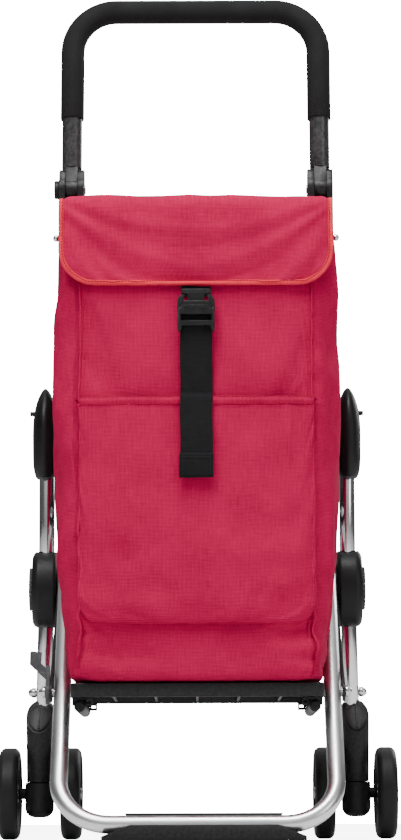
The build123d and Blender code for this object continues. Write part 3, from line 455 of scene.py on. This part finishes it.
def apply_modifiers(piece):
    """Puts the result of the piece's modifiers in its mesh."""
    bpy.context.view_layer.update()
    shown = piece.evaluated_get(bpy.context.evaluated_depsgraph_get())
    data = bpy.data.meshes.new_from_object(shown)
    piece.modifiers.clear()
    piece.data = data
    return piece


def sweep_section(path, normals, section, flat_width):
    """Points and faces of a section, given as (side, out) pairs, carried along a path."""
    points, flats, run = [], [], 0.0
    count = len(section)
    for i, p in enumerate(path):
        ahead = path[min(i + 1, len(path) - 1)] - path[max(i - 1, 0)]
        ahead.normalize()
        out = (normals[i] - ahead * normals[i].dot(ahead)).normalized()
        side = ahead.cross(out)
        if i:
            run += (p - path[i - 1]).length
        for k, (a, b) in enumerate(section):
            points.append(p + side * a + out * b)
            flats.append((flat_width * k / count, run))
    faces = []
    for i in range(len(path) - 1):
        for k in range(count):
            n = (k + 1) % count
            faces.append((i * count + k, i * count + n, (i + 1) * count + n, (i + 1) * count + k))
    faces.append(tuple(reversed(range(count))))
    last = (len(path) - 1) * count
    faces.append(tuple(range(last, last + count)))
    return points, faces, flats


def rounded_section(half_width, half_height, radius, steps=4):
    """Rounded rectangle as (side, out) pairs."""
    pairs = []
    for cx, cy, start in ((1, 1, 0), (-1, 1, 90), (-1, -1, 180), (1, -1, 270)):
        for s in range(steps + 1):
            a = math.radians(start + 90 * s / steps)
            pairs.append((
                cx * (half_width - radius) + radius * math.cos(a),
                cy * (half_height - radius) + radius * math.sin(a),
            ))
    return pairs


def resample(path, step):
    """Points at an even spacing along a path, with the direction there."""
    found, left = [], 0.0
    for a, b in zip(path, path[1:]):
        length = (b - a).length
        while left < length:
            found.append((a.lerp(b, left / length), (b - a).normalized()))
            left += step
        left -= length
    return found


def stitches(name, path, outward, finish, body, step=3.6 * MM, length=2.5 * MM, thick=0.42 * MM):
    """A row of single stitches, each a short raised bead of thread sunk at its ends."""
    points, faces, flats = [], [], []
    ring = 6
    for place, ahead in resample(path, step):
        out = outward(place)
        side = ahead.cross(out).normalized()
        base = len(points)
        for k, (t, size) in enumerate(((-0.5, 0.25), (-0.3, 0.9), (0.0, 1.0), (0.3, 0.9), (0.5, 0.25))):
            lift = thick * (0.45 - 2.2 * t * t)
            for j in range(ring):
                a = 2 * math.pi * j / ring
                round_it = side * (math.cos(a) * thick * size)
                raised = out * (lift + math.sin(a) * thick * size)
                points.append(place + ahead * (t * length) + round_it + raised)
                flats.append((j * 0.0003, t * length))
        for k in range(4):
            for j in range(ring):
                n = (j + 1) % ring
                near, far = base + k * ring, base + (k + 1) * ring
                faces.append((near + j, near + n, far + n, far + j))
        faces.append(tuple(base + j for j in reversed(range(ring))))
        faces.append(tuple(base + 4 * ring + j for j in range(ring)))
    return mesh_piece(name, points, faces, flats, finish, body)


def folds_flat(piece):
    """Gives the piece its own copy of its mesh."""
    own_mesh(piece)


def settle(piece, held, pressure, slack, limit, frames=18, gravity=0.4):
    """Lets the cloth find its own wrinkles, then keeps the result, moved at most limit."""
    scene = bpy.context.scene
    data = piece.data
    start = [v.co.copy() for v in data.vertices]
    pin = piece.vertex_groups.new(name="held")
    for index, weight in held.items():
        pin.add([index], weight, "REPLACE")
    cloth = piece.modifiers.new("cloth", "CLOTH")
    cloth.settings.vertex_group_mass = "held"
    cloth.settings.quality = 5
    cloth.settings.mass = 0.12
    cloth.settings.tension_stiffness = cloth.settings.compression_stiffness = 18
    cloth.settings.shear_stiffness = 6
    cloth.settings.bending_stiffness = 0.9
    cloth.settings.shrink_min = -slack
    cloth.settings.use_pressure = True
    cloth.settings.uniform_pressure_force = pressure
    cloth.settings.effector_weights.gravity = gravity
    cloth.collision_settings.use_collision = False
    cloth.point_cache.frame_start, cloth.point_cache.frame_end = 1, frames
    for step in range(1, frames + 1):
        scene.frame_set(step)
    shown = piece.evaluated_get(bpy.context.evaluated_depsgraph_get())
    moved = [v.co.copy() for v in shown.data.vertices]
    piece.modifiers.remove(cloth)
    piece.vertex_groups.clear()
    scene.frame_set(1)
    for vertex, before, after in zip(data.vertices, start, moved):
        shift = after - before
        if shift.length > 0:
            shift *= limit * math.tanh(shift.length / limit) / shift.length
        vertex.co = before + shift


def ripple(point, size, seed):
    """Smooth noise from -1 to 1 at a place, for wrinkles of that size."""
    return noise.noise(Vector((point[0] / size + seed, point[1] / size, point[2] / size)))


# ------------------------------------------------------------------ the bag
BAG_LO, BAG_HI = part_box("bag_body")
SEAM_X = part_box("bag_pocket")[1].x
HINGE_RISE = 3.4 * MM      # the back wall reaches up to the flap's hinge line
RIM_DROP = 23 * MM         # how much lower the rim is at the front than at the back
LEG_INNER = 142.6 * MM     # the bag's half width between the legs of the U
KNEE_YZ = (90 * MM, 394 * MM)
LEG_SLOPE = math.tan(math.radians(34.4))


def bag_half(z):
    """Half width of the bag at a height, as it bulges between board and rim."""
    heights = (176, 225, 270, 330, 400, 480, 600, 700, 752)
    halves = (143, 149.5, 155, 160, 163.5, 165, 164, 160, 154)
    h = z / MM
    for (z0, a), (z1, b) in zip(zip(heights, halves), zip(heights[1:], halves[1:])):
        if h <= z1:
            t = max(0.0, (h - z0) / (z1 - z0))
            t = t * t * (3 - 2 * t)
            return (a + (b - a) * t) * MM
    return halves[-1] * MM


def ring(z, front_columns, side_columns, back_columns):
    """Plan outline of the bag at a height, from the left front seam round by the right."""
    half = bag_half(z)
    front, back, corner = BAG_LO.y, BAG_HI.y, 30 * MM
    outline = []
    for i in range(front_columns):
        t = -1 + 2 * i / (front_columns - 1)
        outline.append((t * SEAM_X, front - 3.0 * MM * (1 - t * t)))
    side = []
    for s in range(13):
        a = math.radians(90 * s / 12)
        side.append((half - corner + corner * math.sin(a), front + corner - corner * math.cos(a)))
    side[0] = (SEAM_X, front)
    for s in range(1, 12):
        t = s / 12
        swell = 1.5 * MM * math.sin(math.pi * t)
        side.append((half + swell, front + corner + (back - 2 * corner - front) * t))
    for s in range(9):
        a = math.radians(90 * s / 8)
        side.append((half - corner + corner * math.cos(a), back - corner + corner * math.sin(a)))
    run = [0.0]
    for p, q in zip(side, side[1:]):
        run.append(run[-1] + math.dist(p, q))
    gusset = []
    for i in range(1, side_columns + 1):
        want, k = run[-1] * i / side_columns, 0
        while k < len(side) - 2 and run[k + 1] < want:
            k += 1
        t = (want - run[k]) / (run[k + 1] - run[k])
        gusset.append(tuple(a + (b - a) * t for a, b in zip(side[k], side[k + 1])))
    outline += gusset
    edge = gusset[-1][0]
    for i in range(1, back_columns):
        t = 1 - 2 * i / back_columns
        outline.append((edge * t, back))
    outline += [(-x, y) for x, y in reversed(gusset)]
    return outline


def keep_clear(point):
    """Holds the bag in behind its flap, and between the legs of the U where they pass it."""
    widest = bag_half(point.z) + 1.5 * MM
    x = math.copysign(min(abs(point.x), widest), point.x)
    point = Vector((x, max(point.y, BAG_LO.y - 3.6 * MM), point.z))
    leg_y = KNEE_YZ[0] - (KNEE_YZ[1] - point.z) * LEG_SLOPE
    near = (point.y - (leg_y - 34 * MM)) / (17 * MM)
    if point.z > KNEE_YZ[1] + 30 * MM or near <= 0:
        return point
    room = LEG_INNER + (1 - min(near, 1.0)) * 20 * MM
    if abs(point.x) > room:
        point = Vector((math.copysign(room, point.x), point.y, point.z))
    return point


def make_bag():
    """Body of the bag: four walls in one sheet, and a floor."""
    front, side, back, rows = 44, 30, 22, 92
    low, high = BAG_LO.z + 0.4 * MM, BAG_HI.z
    points, flats = [], []
    columns = len(ring(high, front, side, back))
    for r in range(rows):
        level = low + (high - low) * r / (rows - 1)
        edge = ring(level, front, side, back)
        run = 0.0
        for c, (x, y) in enumerate(edge):
            if c:
                run += math.dist(edge[c - 1], (x, y))
            top = high - RIM_DROP * (BAG_HI.y - y) / (BAG_HI.y - BAG_LO.y)
            if c >= front + side - 3 and c < front + side + back + 3:
                top += HINGE_RISE
            z = low + (top - low) * r / (rows - 1)
            rise = min(1.0, (z - low) / (14 * MM))
            inward = (1 - rise) ** 2 * 5 * MM
            here = Vector((x, y, z))
            out = Vector((x * 0.9, y + 25 * MM, 0)).normalized()
            gusset = 0.0 if c < front or c >= front + 2 * side + back else 1.0
            fold = (ripple((x * 0.4, y, z * 0.14), 21 * MM, 3.1) - 0.3) * gusset * 7.0 * MM
            fold += ripple((x * 0.3, y * 0.8, z * 0.5), 30 * MM, 12.4) * gusset * 3.0 * MM
            waves = (ripple(here, 75 * MM, 7.7) - 0.3) * 2.6 * MM + ripple(here, 34 * MM, 1.3) * 1.2 * MM
            if gusset == 0.0 and z < 262 * MM:
                waves += ripple((x * 0.3 + z * 0.5, y, z * 1.4), 26 * MM, 9.2) * 6.0 * MM
            rim = min(1.0, (top - z) / (60 * MM))
            here += out * ((fold + waves) * min(rise, rim) - inward)
            points.append(keep_clear(here))
            flats.append((run, z))
    faces = grid_faces(columns, rows, closed=True)
    floor = len(points)
    points.append(Vector((0, (BAG_LO.y + BAG_HI.y) / 2, low)))
    flats.append((0.0, 0.0))
    faces += [(floor, (c + 1) % columns, c) for c in range(columns)]
    piece = mesh_piece("bag_walls", points, faces, flats, CRIMSON)
    held = {c: 1.0 for c in range(columns)}
    held[floor] = 1.0
    for c in range(columns):
        held[(rows - 1) * columns + c] = 1.0
    for r in range(rows):
        for c in range(columns):
            if front + side <= c < front + side + back:
                held[r * columns + c] = 1.0
            elif c in (0, front - 1):
                held[r * columns + c] = 0.55
    settle(piece, held, pressure=0.6, slack=0.025, limit=3.5 * MM)
    for vertex in piece.data.vertices:
        vertex.co = keep_clear(vertex.co)
    seams = []
    for c in (0, front - 1):
        seams.append([piece.data.vertices[r * columns + c].co.copy() for r in range(4, rows - 4)])
    thicken(piece, 1.4 * MM)
    smooth_more(piece)
    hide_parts("bag_body")
    middle = ring(0.45, front, side, back)
    return piece, seams


dress_frame()
bag, front_seams = make_bag()


def straight_out(place):
    return FORWARD


def front_stitches(name, line):
    return stitches(name, line, straight_out, THREAD, "rear_frame")


def make_seams():
    """Piped seams down both edges of the front panel."""
    made = []
    for hand, line in zip(("left", "right"), front_seams):
        path = [p + Vector((math.copysign(0.6 * MM, p.x), -0.8 * MM, 0)) for p in line]
        section = rounded_section(1.5 * MM, 1.3 * MM, 1.2 * MM, 3)
        points, faces, flats = sweep_section(path, [FORWARD.copy()] * len(path), section, 9 * MM)
        made.append(mesh_piece(f"seam_piping_{hand}", points, faces, flats, CRIMSON))
        beside = [p + Vector((-math.copysign(4.5 * MM, p.x), -1.0 * MM, 0)) for p in line]
        made.append(front_stitches(f"seam_stitches_{hand}", beside))
    return made


# ------------------------------------------------------------------ the pocket
POCKET_LO, POCKET_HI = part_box("bag_pocket")
HEM_GAP = 8 * MM


def pocket_point(u, v):
    """Place on the pocket: u from -1 to 1 across, v from 0 at its foot to 1 at its hem."""
    height = POCKET_HI.z - POCKET_LO.z
    depth = POCKET_HI.y - POCKET_LO.y
    z = POCKET_LO.z + height * v
    corner = 22 * MM
    rise = height * v
    half = SEAM_X
    if rise < corner:
        half = SEAM_X - corner + math.sqrt(max(corner ** 2 - (corner - rise) ** 2, 0.0))
    lip = 1 - (1 - min(v / 0.13, 1.0)) ** 2.4
    belly = 0.42 + 0.58 * min(1.0, (1 - v) / 0.62) ** 0.75
    edge = (1 - abs(u) ** 7) ** 0.5
    swell = (depth - 3.2 * MM) * max(lip, 0.0) ** 0.5 * belly * edge
    x = u * half
    here = Vector((x, BAG_LO.y - 3.2 * MM * (1 - u * u) - 0.6 * MM - swell, z))
    waves = ripple(here, 80 * MM, 4.4) * 3.4 * MM + ripple((x + z, 0, z - x), 46 * MM, 8.4) * 1.8 * MM
    sag = ripple((x * 0.3, 0, z), 26 * MM, 2.2) * 2.4 * MM * (1 - v)
    here.y += (waves + sag) * edge * min(1.0, v * 8) * min(1.0, (1 - v) * 9 + 0.25)
    return here


def make_pocket():
    """Pocket on the front panel, bulging forward below its mouth; its hem, sewn twice, is made by make_hem.
    """
    columns, rows = 64, 60
    across = [math.sin(math.pi / 2 * (-1 + 2 * c / (columns - 1))) for c in range(columns)]
    up = [(r / (rows - 1)) ** 1.35 for r in range(rows)]
    points = [pocket_point(u, v) for v in up for u in across]
    flats = [(u * SEAM_X * 1.02, v * 0.26) for v in up for u in across]
    piece = mesh_piece("front_pocket", points, grid_faces(columns, rows), flats, CRIMSON)
    held = {}
    for r in range(rows):
        for c in range(columns):
            if c in (0, columns - 1) or r == 0:
                held[r * columns + c] = 1.0
            elif r == rows - 1:
                held[r * columns + c] = 0.85
    settle(piece, held, pressure=0.4, slack=0.025, limit=4.5 * MM, gravity=0.8)
    top = [piece.data.vertices[(rows - 1) * columns + c].co.copy() for c in range(columns)]
    thicken(piece, 1.6 * MM, 1.0)
    smooth_more(piece)
    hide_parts("bag_pocket")
    return piece, top


pocket, hem_line = make_pocket()


def make_hem():
    """Folded hem along the pocket's mouth and its two rows of stitches."""
    made = []
    drop = HEM_GAP / 2
    path = [p + Vector((0, -1.6 * MM, -drop)) for p in hem_line]
    section = rounded_section(HEM_GAP * 0.62, 0.9 * MM, 0.8 * MM, 3)
    points, faces, flats = sweep_section(path, [FORWARD.copy()] * len(path), section, 22 * MM)
    made.append(mesh_piece("pocket_hem", points, faces, flats, CRIMSON))
    for row, lower in (("upper", -0.5 * MM), ("lower", HEM_GAP - 0.5 * MM)):
        line = [p + Vector((0, -2.7 * MM, -lower)) for p in hem_line]
        made.append(front_stitches(f"hem_stitches_{row}", line))
    return made


# ------------------------------------------------------------------ the flap
FLAP_LO, FLAP_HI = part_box("flap_binding")
PANEL_LO, PANEL_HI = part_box("flap_panel")
FLAP_BEND = 17 * MM
FLAP_CORNER = 42 * MM
FLAP_TAPER = 17 * MM       # it is narrower at the back, to pass between the handle's tubes


def flap_point(u, d, total):
    """Place on the flap: u from -1 to 1 across, d along it from its hinge to its hem."""
    forward = min(max((PANEL_HI.y - d + 14 * MM) / (26 * MM), 0.0), 1.0)
    half = FLAP_HI.x - FLAP_TAPER * forward * forward * (3 - 2 * forward)
    from_hem = total - d
    if from_hem < FLAP_CORNER:
        half += -FLAP_CORNER + math.sqrt(max(FLAP_CORNER ** 2 - (FLAP_CORNER - from_hem) ** 2, 0.0))
    x = u * half
    back = Vector((0, PANEL_HI.y, PANEL_HI.z + 1.2 * MM))
    front_y, fold_z = PANEL_LO.y - 1.0 * MM, PANEL_HI.z - RIM_DROP + 1.5 * MM
    slope = math.atan2(back.z - fold_z, back.y - front_y)
    turn = math.pi / 2 - slope
    tangent = FLAP_BEND * math.tan(turn / 2)
    level = math.hypot(back.z - fold_z, back.y - front_y) - tangent
    arc = FLAP_BEND * turn
    ahead = Vector((0, -math.cos(slope), -math.sin(slope)))
    above = Vector((0, -math.sin(slope), math.cos(slope)))
    crown = 3.0 * MM * (1 - u * u)
    if d < level:
        here, out = back + ahead * d + above * crown, above
    elif d < level + arc:
        a = (d - level) / FLAP_BEND
        centre = back + ahead * level - above * FLAP_BEND
        out = above * math.cos(a) + ahead * math.sin(a)
        here = centre + out * (FLAP_BEND + crown * (1 - a / turn))
    else:
        here, out = Vector((0, front_y, fold_z - tangent - (d - level - arc))), FORWARD
    here.x = x
    if d < level + arc * 0.5:
        droop = max(0.0, abs(x) - (FLAP_HI.x - 12 * MM)) / (12 * MM)
        here.z -= droop ** 2 * 9 * MM
    waves = ripple(here, 60 * MM, 5.5) * 2.6 * MM + ripple(here, 26 * MM, 6.1) * 0.8 * MM
    here += out * (waves * min(1.0, d / (30 * MM)) * min(1.0, from_hem / (12 * MM) + 0.25))
    return here, out


def make_flap():
    """Flap from the bag's back edge over its top and down its front."""
    columns, rows = 56, 84
    front_run = PANEL_HI.z - RIM_DROP - FLAP_LO.z
    total = math.hypot(PANEL_HI.y - PANEL_LO.y, RIM_DROP) + front_run - 0.36 * FLAP_BEND
    across = [-1 + 2 * c / (columns - 1) for c in range(columns)]
    share = [r / (rows - 1) for r in range(rows)]
    spots = [[flap_point(u, total * (1 - (1 - s) ** 1.25), total) for u in across] for s in share]
    points = [p for row in spots for p, out in row]
    flats = [(u * 0.157, total * (1 - (1 - s) ** 1.25)) for s in share for u in across]
    piece = mesh_piece("flap_cloth", points, grid_faces(columns, rows), flats, CRIMSON, "flap")
    held = {}
    for r in range(rows):
        for c in range(columns):
            edge = c in (0, columns - 1) or r in (0, rows - 1)
            held[r * columns + c] = 1.0 if edge or share[r] < 0.52 else 0.12
    settle(piece, held, pressure=0.15, slack=0.015, limit=3 * MM, gravity=0.6)
    spot = lambda r, c: piece.data.vertices[r * columns + c].co.copy()
    edge, inward = [], []
    for r in range(1, rows):
        edge.append(spot(r, 0))
        inward.append(spot(r, 3))
    for c in range(1, columns - 1):
        edge.append(spot(rows - 1, c))
        inward.append(spot(rows - 4, c))
    for r in range(rows - 1, 0, -1):
        edge.append(spot(r, columns - 1))
        inward.append(spot(r, columns - 4))
    thicken(piece, 1.8 * MM, 1.0)
    smooth_more(piece)
    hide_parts("flap_panel")
    return piece, edge, inward


flap, flap_edge, flap_inward = make_flap()


def make_binding():
    """Coral tape folded over the flap's edge, with its row of stitches."""
    width, half_thick = 6.2 * MM, 2.0 * MM
    path, normals, stitch_line = [], [], []
    dense = []
    for edge, inner in zip(flap_edge, flap_inward):
        if not dense or (edge - dense[-1][0]).length > 1.2 * MM:
            dense.append((edge, inner))
    for i, (edge, inner) in enumerate(dense):
        ahead = (dense[min(i + 1, len(dense) - 1)][0] - dense[max(i - 1, 0)][0]).normalized()
        inward = (inner - edge)
        inward = (inward - ahead * inward.dot(ahead)).normalized()
        out = inward.cross(ahead)
        if out.dot(FORWARD) + out.dot(UP) < 0:
            out = -out
        path.append(edge + inward * (width / 2 - 0.8 * MM) + out * 0.4 * MM)
        normals.append(out)
        stitch_line.append(edge + inward * (width - 2.4 * MM) + out * (half_thick + 0.5 * MM))
    section = rounded_section(width / 2, half_thick, 1.7 * MM, 4)
    points, faces, flats = sweep_section(path, normals, section, 2 * width)
    tape = mesh_piece("flap_tape", points, faces, flats, CORAL, "flap")
    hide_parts("flap_binding")
    lookup = list(zip(path, normals))
    nearest = lambda p: min(lookup, key=lambda item: (item[0] - p).length_squared)[1]
    row = stitches(
        "flap_tape_stitches", stitch_line, nearest, CORAL_THREAD, "flap", thick=0.5 * MM
    )
    return [tape, row]


# ------------------------------------------------------------------ strap and buckle
STRAP_LO, STRAP_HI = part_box("strap")
HOUSE_LO, HOUSE_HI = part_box("buckle_housing")
PLUG_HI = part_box("buckle_plug")[1]
BUCKLE_Y = (HOUSE_LO.y + HOUSE_HI.y) / 2
STRAP_CLEAR = 4.8 * MM     # middle of the webbing in front of the cloth


def front_of_pocket(z):
    """How far forward the pocket or the panel stands at a height, on the middle line."""
    height = (z - POCKET_LO.z) / (POCKET_HI.z - POCKET_LO.z)
    if height >= 1.0:
        return BAG_LO.y - 4 * MM
    return pocket_point(0.0, height).y


def make_strap():
    """Webbing from the buckle down the front, its end turned up and sewn in a box."""
    half, thick = STRAP_HI.x - 0.6 * MM, 1.1 * MM
    top, low = HOUSE_LO.z + 27 * MM, STRAP_LO.z
    path = []
    steps = 60
    for i in range(steps + 1):
        z = top + (low - top) * i / steps
        rest = front_of_pocket(z) - STRAP_CLEAR
        pull = max(0.0, 1 - i / steps * 2.2)
        y = rest + (BUCKLE_Y + 2.6 * MM - rest) * min(1.0, pull * 1.25)
        path.append(Vector((0.3 * MM * math.sin(i * 0.3), y, z)))
    section = rounded_section(half, thick, 0.9 * MM, 3)
    points, faces = sweep_section(path, [FORWARD.copy()] * len(path), section, 4 * half)[:2]
    flats = [(p.x, p.z) for p in points]
    web = mesh_piece("webbing_strap", points, faces, flats, WEBBING)
    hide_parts("strap")
    end_top = low + 26 * MM
    turned = [p + Vector((0, -2.3 * MM, 0)) for p in path if p.z <= end_top]
    turned.insert(0, turned[0] + Vector((0, 1.2 * MM, 1.0 * MM)))
    section = rounded_section(half + 1.0 * MM, thick, 0.9 * MM, 3)
    points, faces = sweep_section(turned, [FORWARD.copy()] * len(turned), section, 4 * half)[:2]
    flats = [(p.x, p.z) for p in points]
    end = mesh_piece("webbing_end", points, faces, flats, WEBBING)
    box_top, box_low, wide = end_top - 3 * MM, low + 3.5 * MM, half - 3 * MM
    corners = []
    for x, z in ((-wide, box_low), (wide, box_low), (wide, box_top), (-wide, box_top), (-wide, box_low)):
        corners.append(Vector((x, front_of_pocket(z) - STRAP_CLEAR - 2.3 * MM - thick - 0.3 * MM, z)))
    box = stitches(
        "strap_box_stitches", corners, straight_out, BLACK_THREAD, "rear_frame", step=3.0 * MM
    )
    return [web, end, box]


def outline_plate(name, outline, y_low, y_high, finish, body, round_by=0.8 * MM, hole=None):
    """Flat moulding with the outline, as (x, z) pairs, between two depths, edges rounded."""
    data = bpy.data.curves.new(name, "CURVE")
    data.dimensions = "2D"
    data.fill_mode = "BOTH"
    for loop in [outline] + (hole or []):
        spline = data.splines.new("POLY")
        spline.points.add(len(loop) - 1)
        for point, (x, z) in zip(spline.points, loop):
            point.co = (x, z, 0, 1)
        spline.use_cyclic_u = True
    data.extrude = (y_high - y_low) / 2 - round_by
    data.bevel_depth, data.bevel_resolution = round_by, 3
    data.offset = -round_by
    holder = bpy.data.objects.new(name, data)
    bpy.context.scene.collection.objects.link(holder)
    bpy.context.view_layer.update()
    mesh = bpy.data.meshes.new_from_object(holder.evaluated_get(bpy.context.evaluated_depsgraph_get()))
    bpy.data.objects.remove(holder)
    points = [Vector((v.co.x, (y_low + y_high) / 2 - v.co.z, v.co.y)) for v in mesh.vertices]
    faces = [tuple(p.vertices) for p in mesh.polygons]
    piece = mesh_piece(name, points, faces, None, finish, body)
    weld = piece.modifiers.new("weld", "WELD")
    weld.merge_threshold = 0.00002
    return apply_modifiers(piece)


def arc(cx, cz, radius, start, end, steps=8):
    """Points of an arc in the front view, in degrees."""
    turns = [math.radians(start + (end - start) * s / steps) for s in range(steps + 1)]
    return [(cx + radius * math.cos(a), cz + radius * math.sin(a)) for a in turns]


def rectangle(half, low, high):
    """Upright rectangle about the middle line, as (x, z) pairs."""
    return [(-half, low), (-half, high), (half, high), (half, low)]


def make_buckle():
    """Side-release buckle: housing with its strap slot, plug plate and two prongs."""
    made = []
    low, high, half = HOUSE_LO.z, HOUSE_HI.z, HOUSE_HI.x - 0.5 * MM
    front, back = HOUSE_LO.y, HOUSE_HI.y
    fork = low + 7 * MM
    body = [(-half + 3 * MM, low), (-half + 5 * MM, fork), (half - 5 * MM, fork), (half - 3 * MM, low)]
    body += [(half, low + 3 * MM), (half, high - 9 * MM)]
    body += arc(half + 2 * MM, high - 1 * MM, 8 * MM, 262, 180, 6)
    body += [(half - 6.5 * MM, high), (-half + 6.5 * MM, high)]
    body += arc(-half - 2 * MM, high - 1 * MM, 8 * MM, 0, -82, 6)
    body += [(-half, high - 9 * MM), (-half, low + 3 * MM)]
    slot_half = half - 3.5 * MM
    window = rectangle(slot_half, low + 13 * MM, low + 20 * MM)
    shell = outline_plate("buckle_shell", body, front, back, BLACK_PLASTIC, "rear_frame", 1.0 * MM, [window])
    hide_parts("buckle_housing")
    made.append(shell)
    ridge = rectangle(slot_half - 4 * MM, high - 9 * MM, high - 5 * MM)[::-1]
    made.append(outline_plate(
        "buckle_shell_rib", ridge, front - 0.9 * MM, front + 2 * MM, BLACK_PLASTIC, "rear_frame", 0.6 * MM
    ))
    top, wide = PLUG_HI.z, PLUG_HI.x
    plate = [(-wide, top - 2 * MM), (-wide + 2 * MM, top), (wide - 2 * MM, top), (wide, top - 2 * MM)]
    neck, under = 9.5 * MM, top - 5.2 * MM
    plate += [(wide, under), (neck + 3 * MM, under)] + arc(neck + 3 * MM, under - 3 * MM, 3 * MM, 90, 180, 5)
    plate += [(neck, high - 3 * MM), (-neck, high - 3 * MM)]
    plate += arc(-neck - 3 * MM, under - 3 * MM, 3 * MM, 0, 90, 5) + [(-neck - 3 * MM, under), (-wide, under)]
    depths = BUCKLE_Y - 3.6 * MM, BUCKLE_Y + 3.6 * MM
    plug = outline_plate("buckle_plug_plate", plate, *depths, BLACK_PLASTIC, "rear_frame", 0.8 * MM)
    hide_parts("buckle_plug")
    made.append(plug)
    for side, hand in ((-1, "left"), (1, "right")):
        lo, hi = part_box(f"buckle_prong_{hand}")
        outer, inner = (hi.x, lo.x) if side > 0 else (lo.x, hi.x)
        pad = [(inner, hi.z), (outer - side * 4 * MM, hi.z)]
        pad += [(outer - side * 0.8 * MM, hi.z - 4 * MM), (outer, hi.z - 8 * MM), (outer, lo.z + 2 * MM)]
        pad += [(outer - side * 5 * MM, lo.z), (outer - side * 6.2 * MM, lo.z + 6 * MM)]
        if side < 0:
            pad.reverse()
        prong = outline_plate(f"prong_{hand}", pad, lo.y, hi.y, BLACK_PLASTIC, f"prong_{hand}", 0.7 * MM)
        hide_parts(f"buckle_prong_{hand}")
        made.append(prong)
    tab = rectangle(17 * MM, PLUG_HI.z - 6 * MM, PLUG_HI.z + 12 * MM)
    depths = BUCKLE_Y + 10.4 * MM, BUCKLE_Y + 12.4 * MM
    short = outline_plate("buckle_tab", tab, *depths, WEBBING, "rear_frame", 0.7 * MM)
    made.append(short)
    return made


soft_pieces = [bag, pocket, flap] + make_seams() + make_hem() + make_binding() + make_strap() + make_buckle()
for piece in soft_pieces:
    if "cloth" not in piece.data.uv_layers:
        layer = piece.data.uv_layers.new(name="cloth")
        for loop in piece.data.loops:
            spot = piece.data.vertices[loop.vertex_index].co
            layer.data[loop.index].uv = (spot.x, spot.z)
    apply_modifiers(piece)
    folds_flat(piece)


# ------------------------------------------------------------------ studio
BACKDROP = 22.0            # brightness of the white seen behind the trolley
FLOOR_GLOW = 7.0


def make_studio():
    """Pale floor and walls of light, and the camera low in front of the trolley."""
    world = bpy.data.worlds.new("studio")
    bpy.context.scene.world = world
    world.use_nodes = True
    tree = world.node_tree
    back = tree.nodes["Background"]
    facing = put(tree, "ShaderNodeSeparateXYZ", Vector=put(tree, "ShaderNodeTexCoord").outputs["Generated"])
    sides = spread(tree, calc(tree, "ABSOLUTE", facing.outputs[0]), 0.25, 0.75, 0.55, 0.12)
    above = spread(tree, facing.outputs[2], -0.1, 0.7, 0.30, 1.5)
    seen = put(tree, "ShaderNodeLightPath").outputs["Is Camera Ray"]
    back.inputs["Color"].default_value = (1.0, 1.0, 1.0, 1.0)
    room = calc(tree, "MULTIPLY", sides, above)
    feed(tree, back.inputs["Strength"], calc(tree, "ADD", room, calc(tree, "MULTIPLY", seen, BACKDROP)))
    data = bpy.data.meshes.new("floor")
    size = 30.0
    corners = [(-size, -size, 0), (size, -size, 0), (size, size, 0), (-size, size, 0)]
    data.from_pydata(corners, [], [(0, 1, 2, 3)])
    floor = bpy.data.objects.new("floor", data)
    floor.location.z = -0.4 * MM
    bpy.context.scene.collection.objects.link(floor)
    made, tree, shader, place = material("pale floor")
    cloudy = put(tree, "ShaderNodeTexNoise", Vector=place, Scale=3.0, Detail=2.0)
    pale = blend_colour(tree, cloudy.outputs[0], (0.86, 0.86, 0.86, 1), (0.92, 0.92, 0.92, 1))
    feed(tree, shader.inputs["Base Color"], pale)
    shader.inputs["Roughness"].default_value = 0.9
    shader.inputs["Emission Color"].default_value = (1.0, 1.0, 1.0, 1.0)
    glow = put(tree, "ShaderNodeLightPath").outputs["Is Camera Ray"]
    feed(tree, shader.inputs["Emission Strength"], calc(tree, "MULTIPLY", glow, FLOOR_GLOW))
    data.materials.append(made)
    for name, place, aim, size, power in (
        ("key", (-0.7, -1.6, 2.35), (0, 0, 0.45), 0.8, 35),
        ("fill", (2.3, -2.0, 1.2), (0, 0, 0.4), 1.2, 11),
        ("top", (0.1, -0.75, 2.25), (0, 0, 0.5), 0.7, 30),
        ("rim", (1.6, 2.2, 1.6), (0, 0, 0.5), 1.2, 24),
    ):
        lamp = bpy.data.lights.new(name, "AREA")
        lamp.shape, lamp.size, lamp.energy = "DISK", size, power
        holder = bpy.data.objects.new(name, lamp)
        holder.location = place
        holder.rotation_euler = (Vector(aim) - Vector(place)).to_track_quat("-Z", "Y").to_euler()
        bpy.context.scene.collection.objects.link(holder)
    lens = bpy.data.cameras.new("camera")
    lens.lens, lens.sensor_width = 113.76, 36.0
    lens.clip_start, lens.clip_end = 0.05, 100
    camera = bpy.data.objects.new("camera", lens)
    camera.location = (3.0 * MM, -3.110, 20 * MM)
    camera.rotation_euler = (math.radians(90 + 8.623), math.radians(0.2), 0)
    bpy.context.scene.collection.objects.link(camera)
    bpy.context.scene.camera = camera


make_studio()
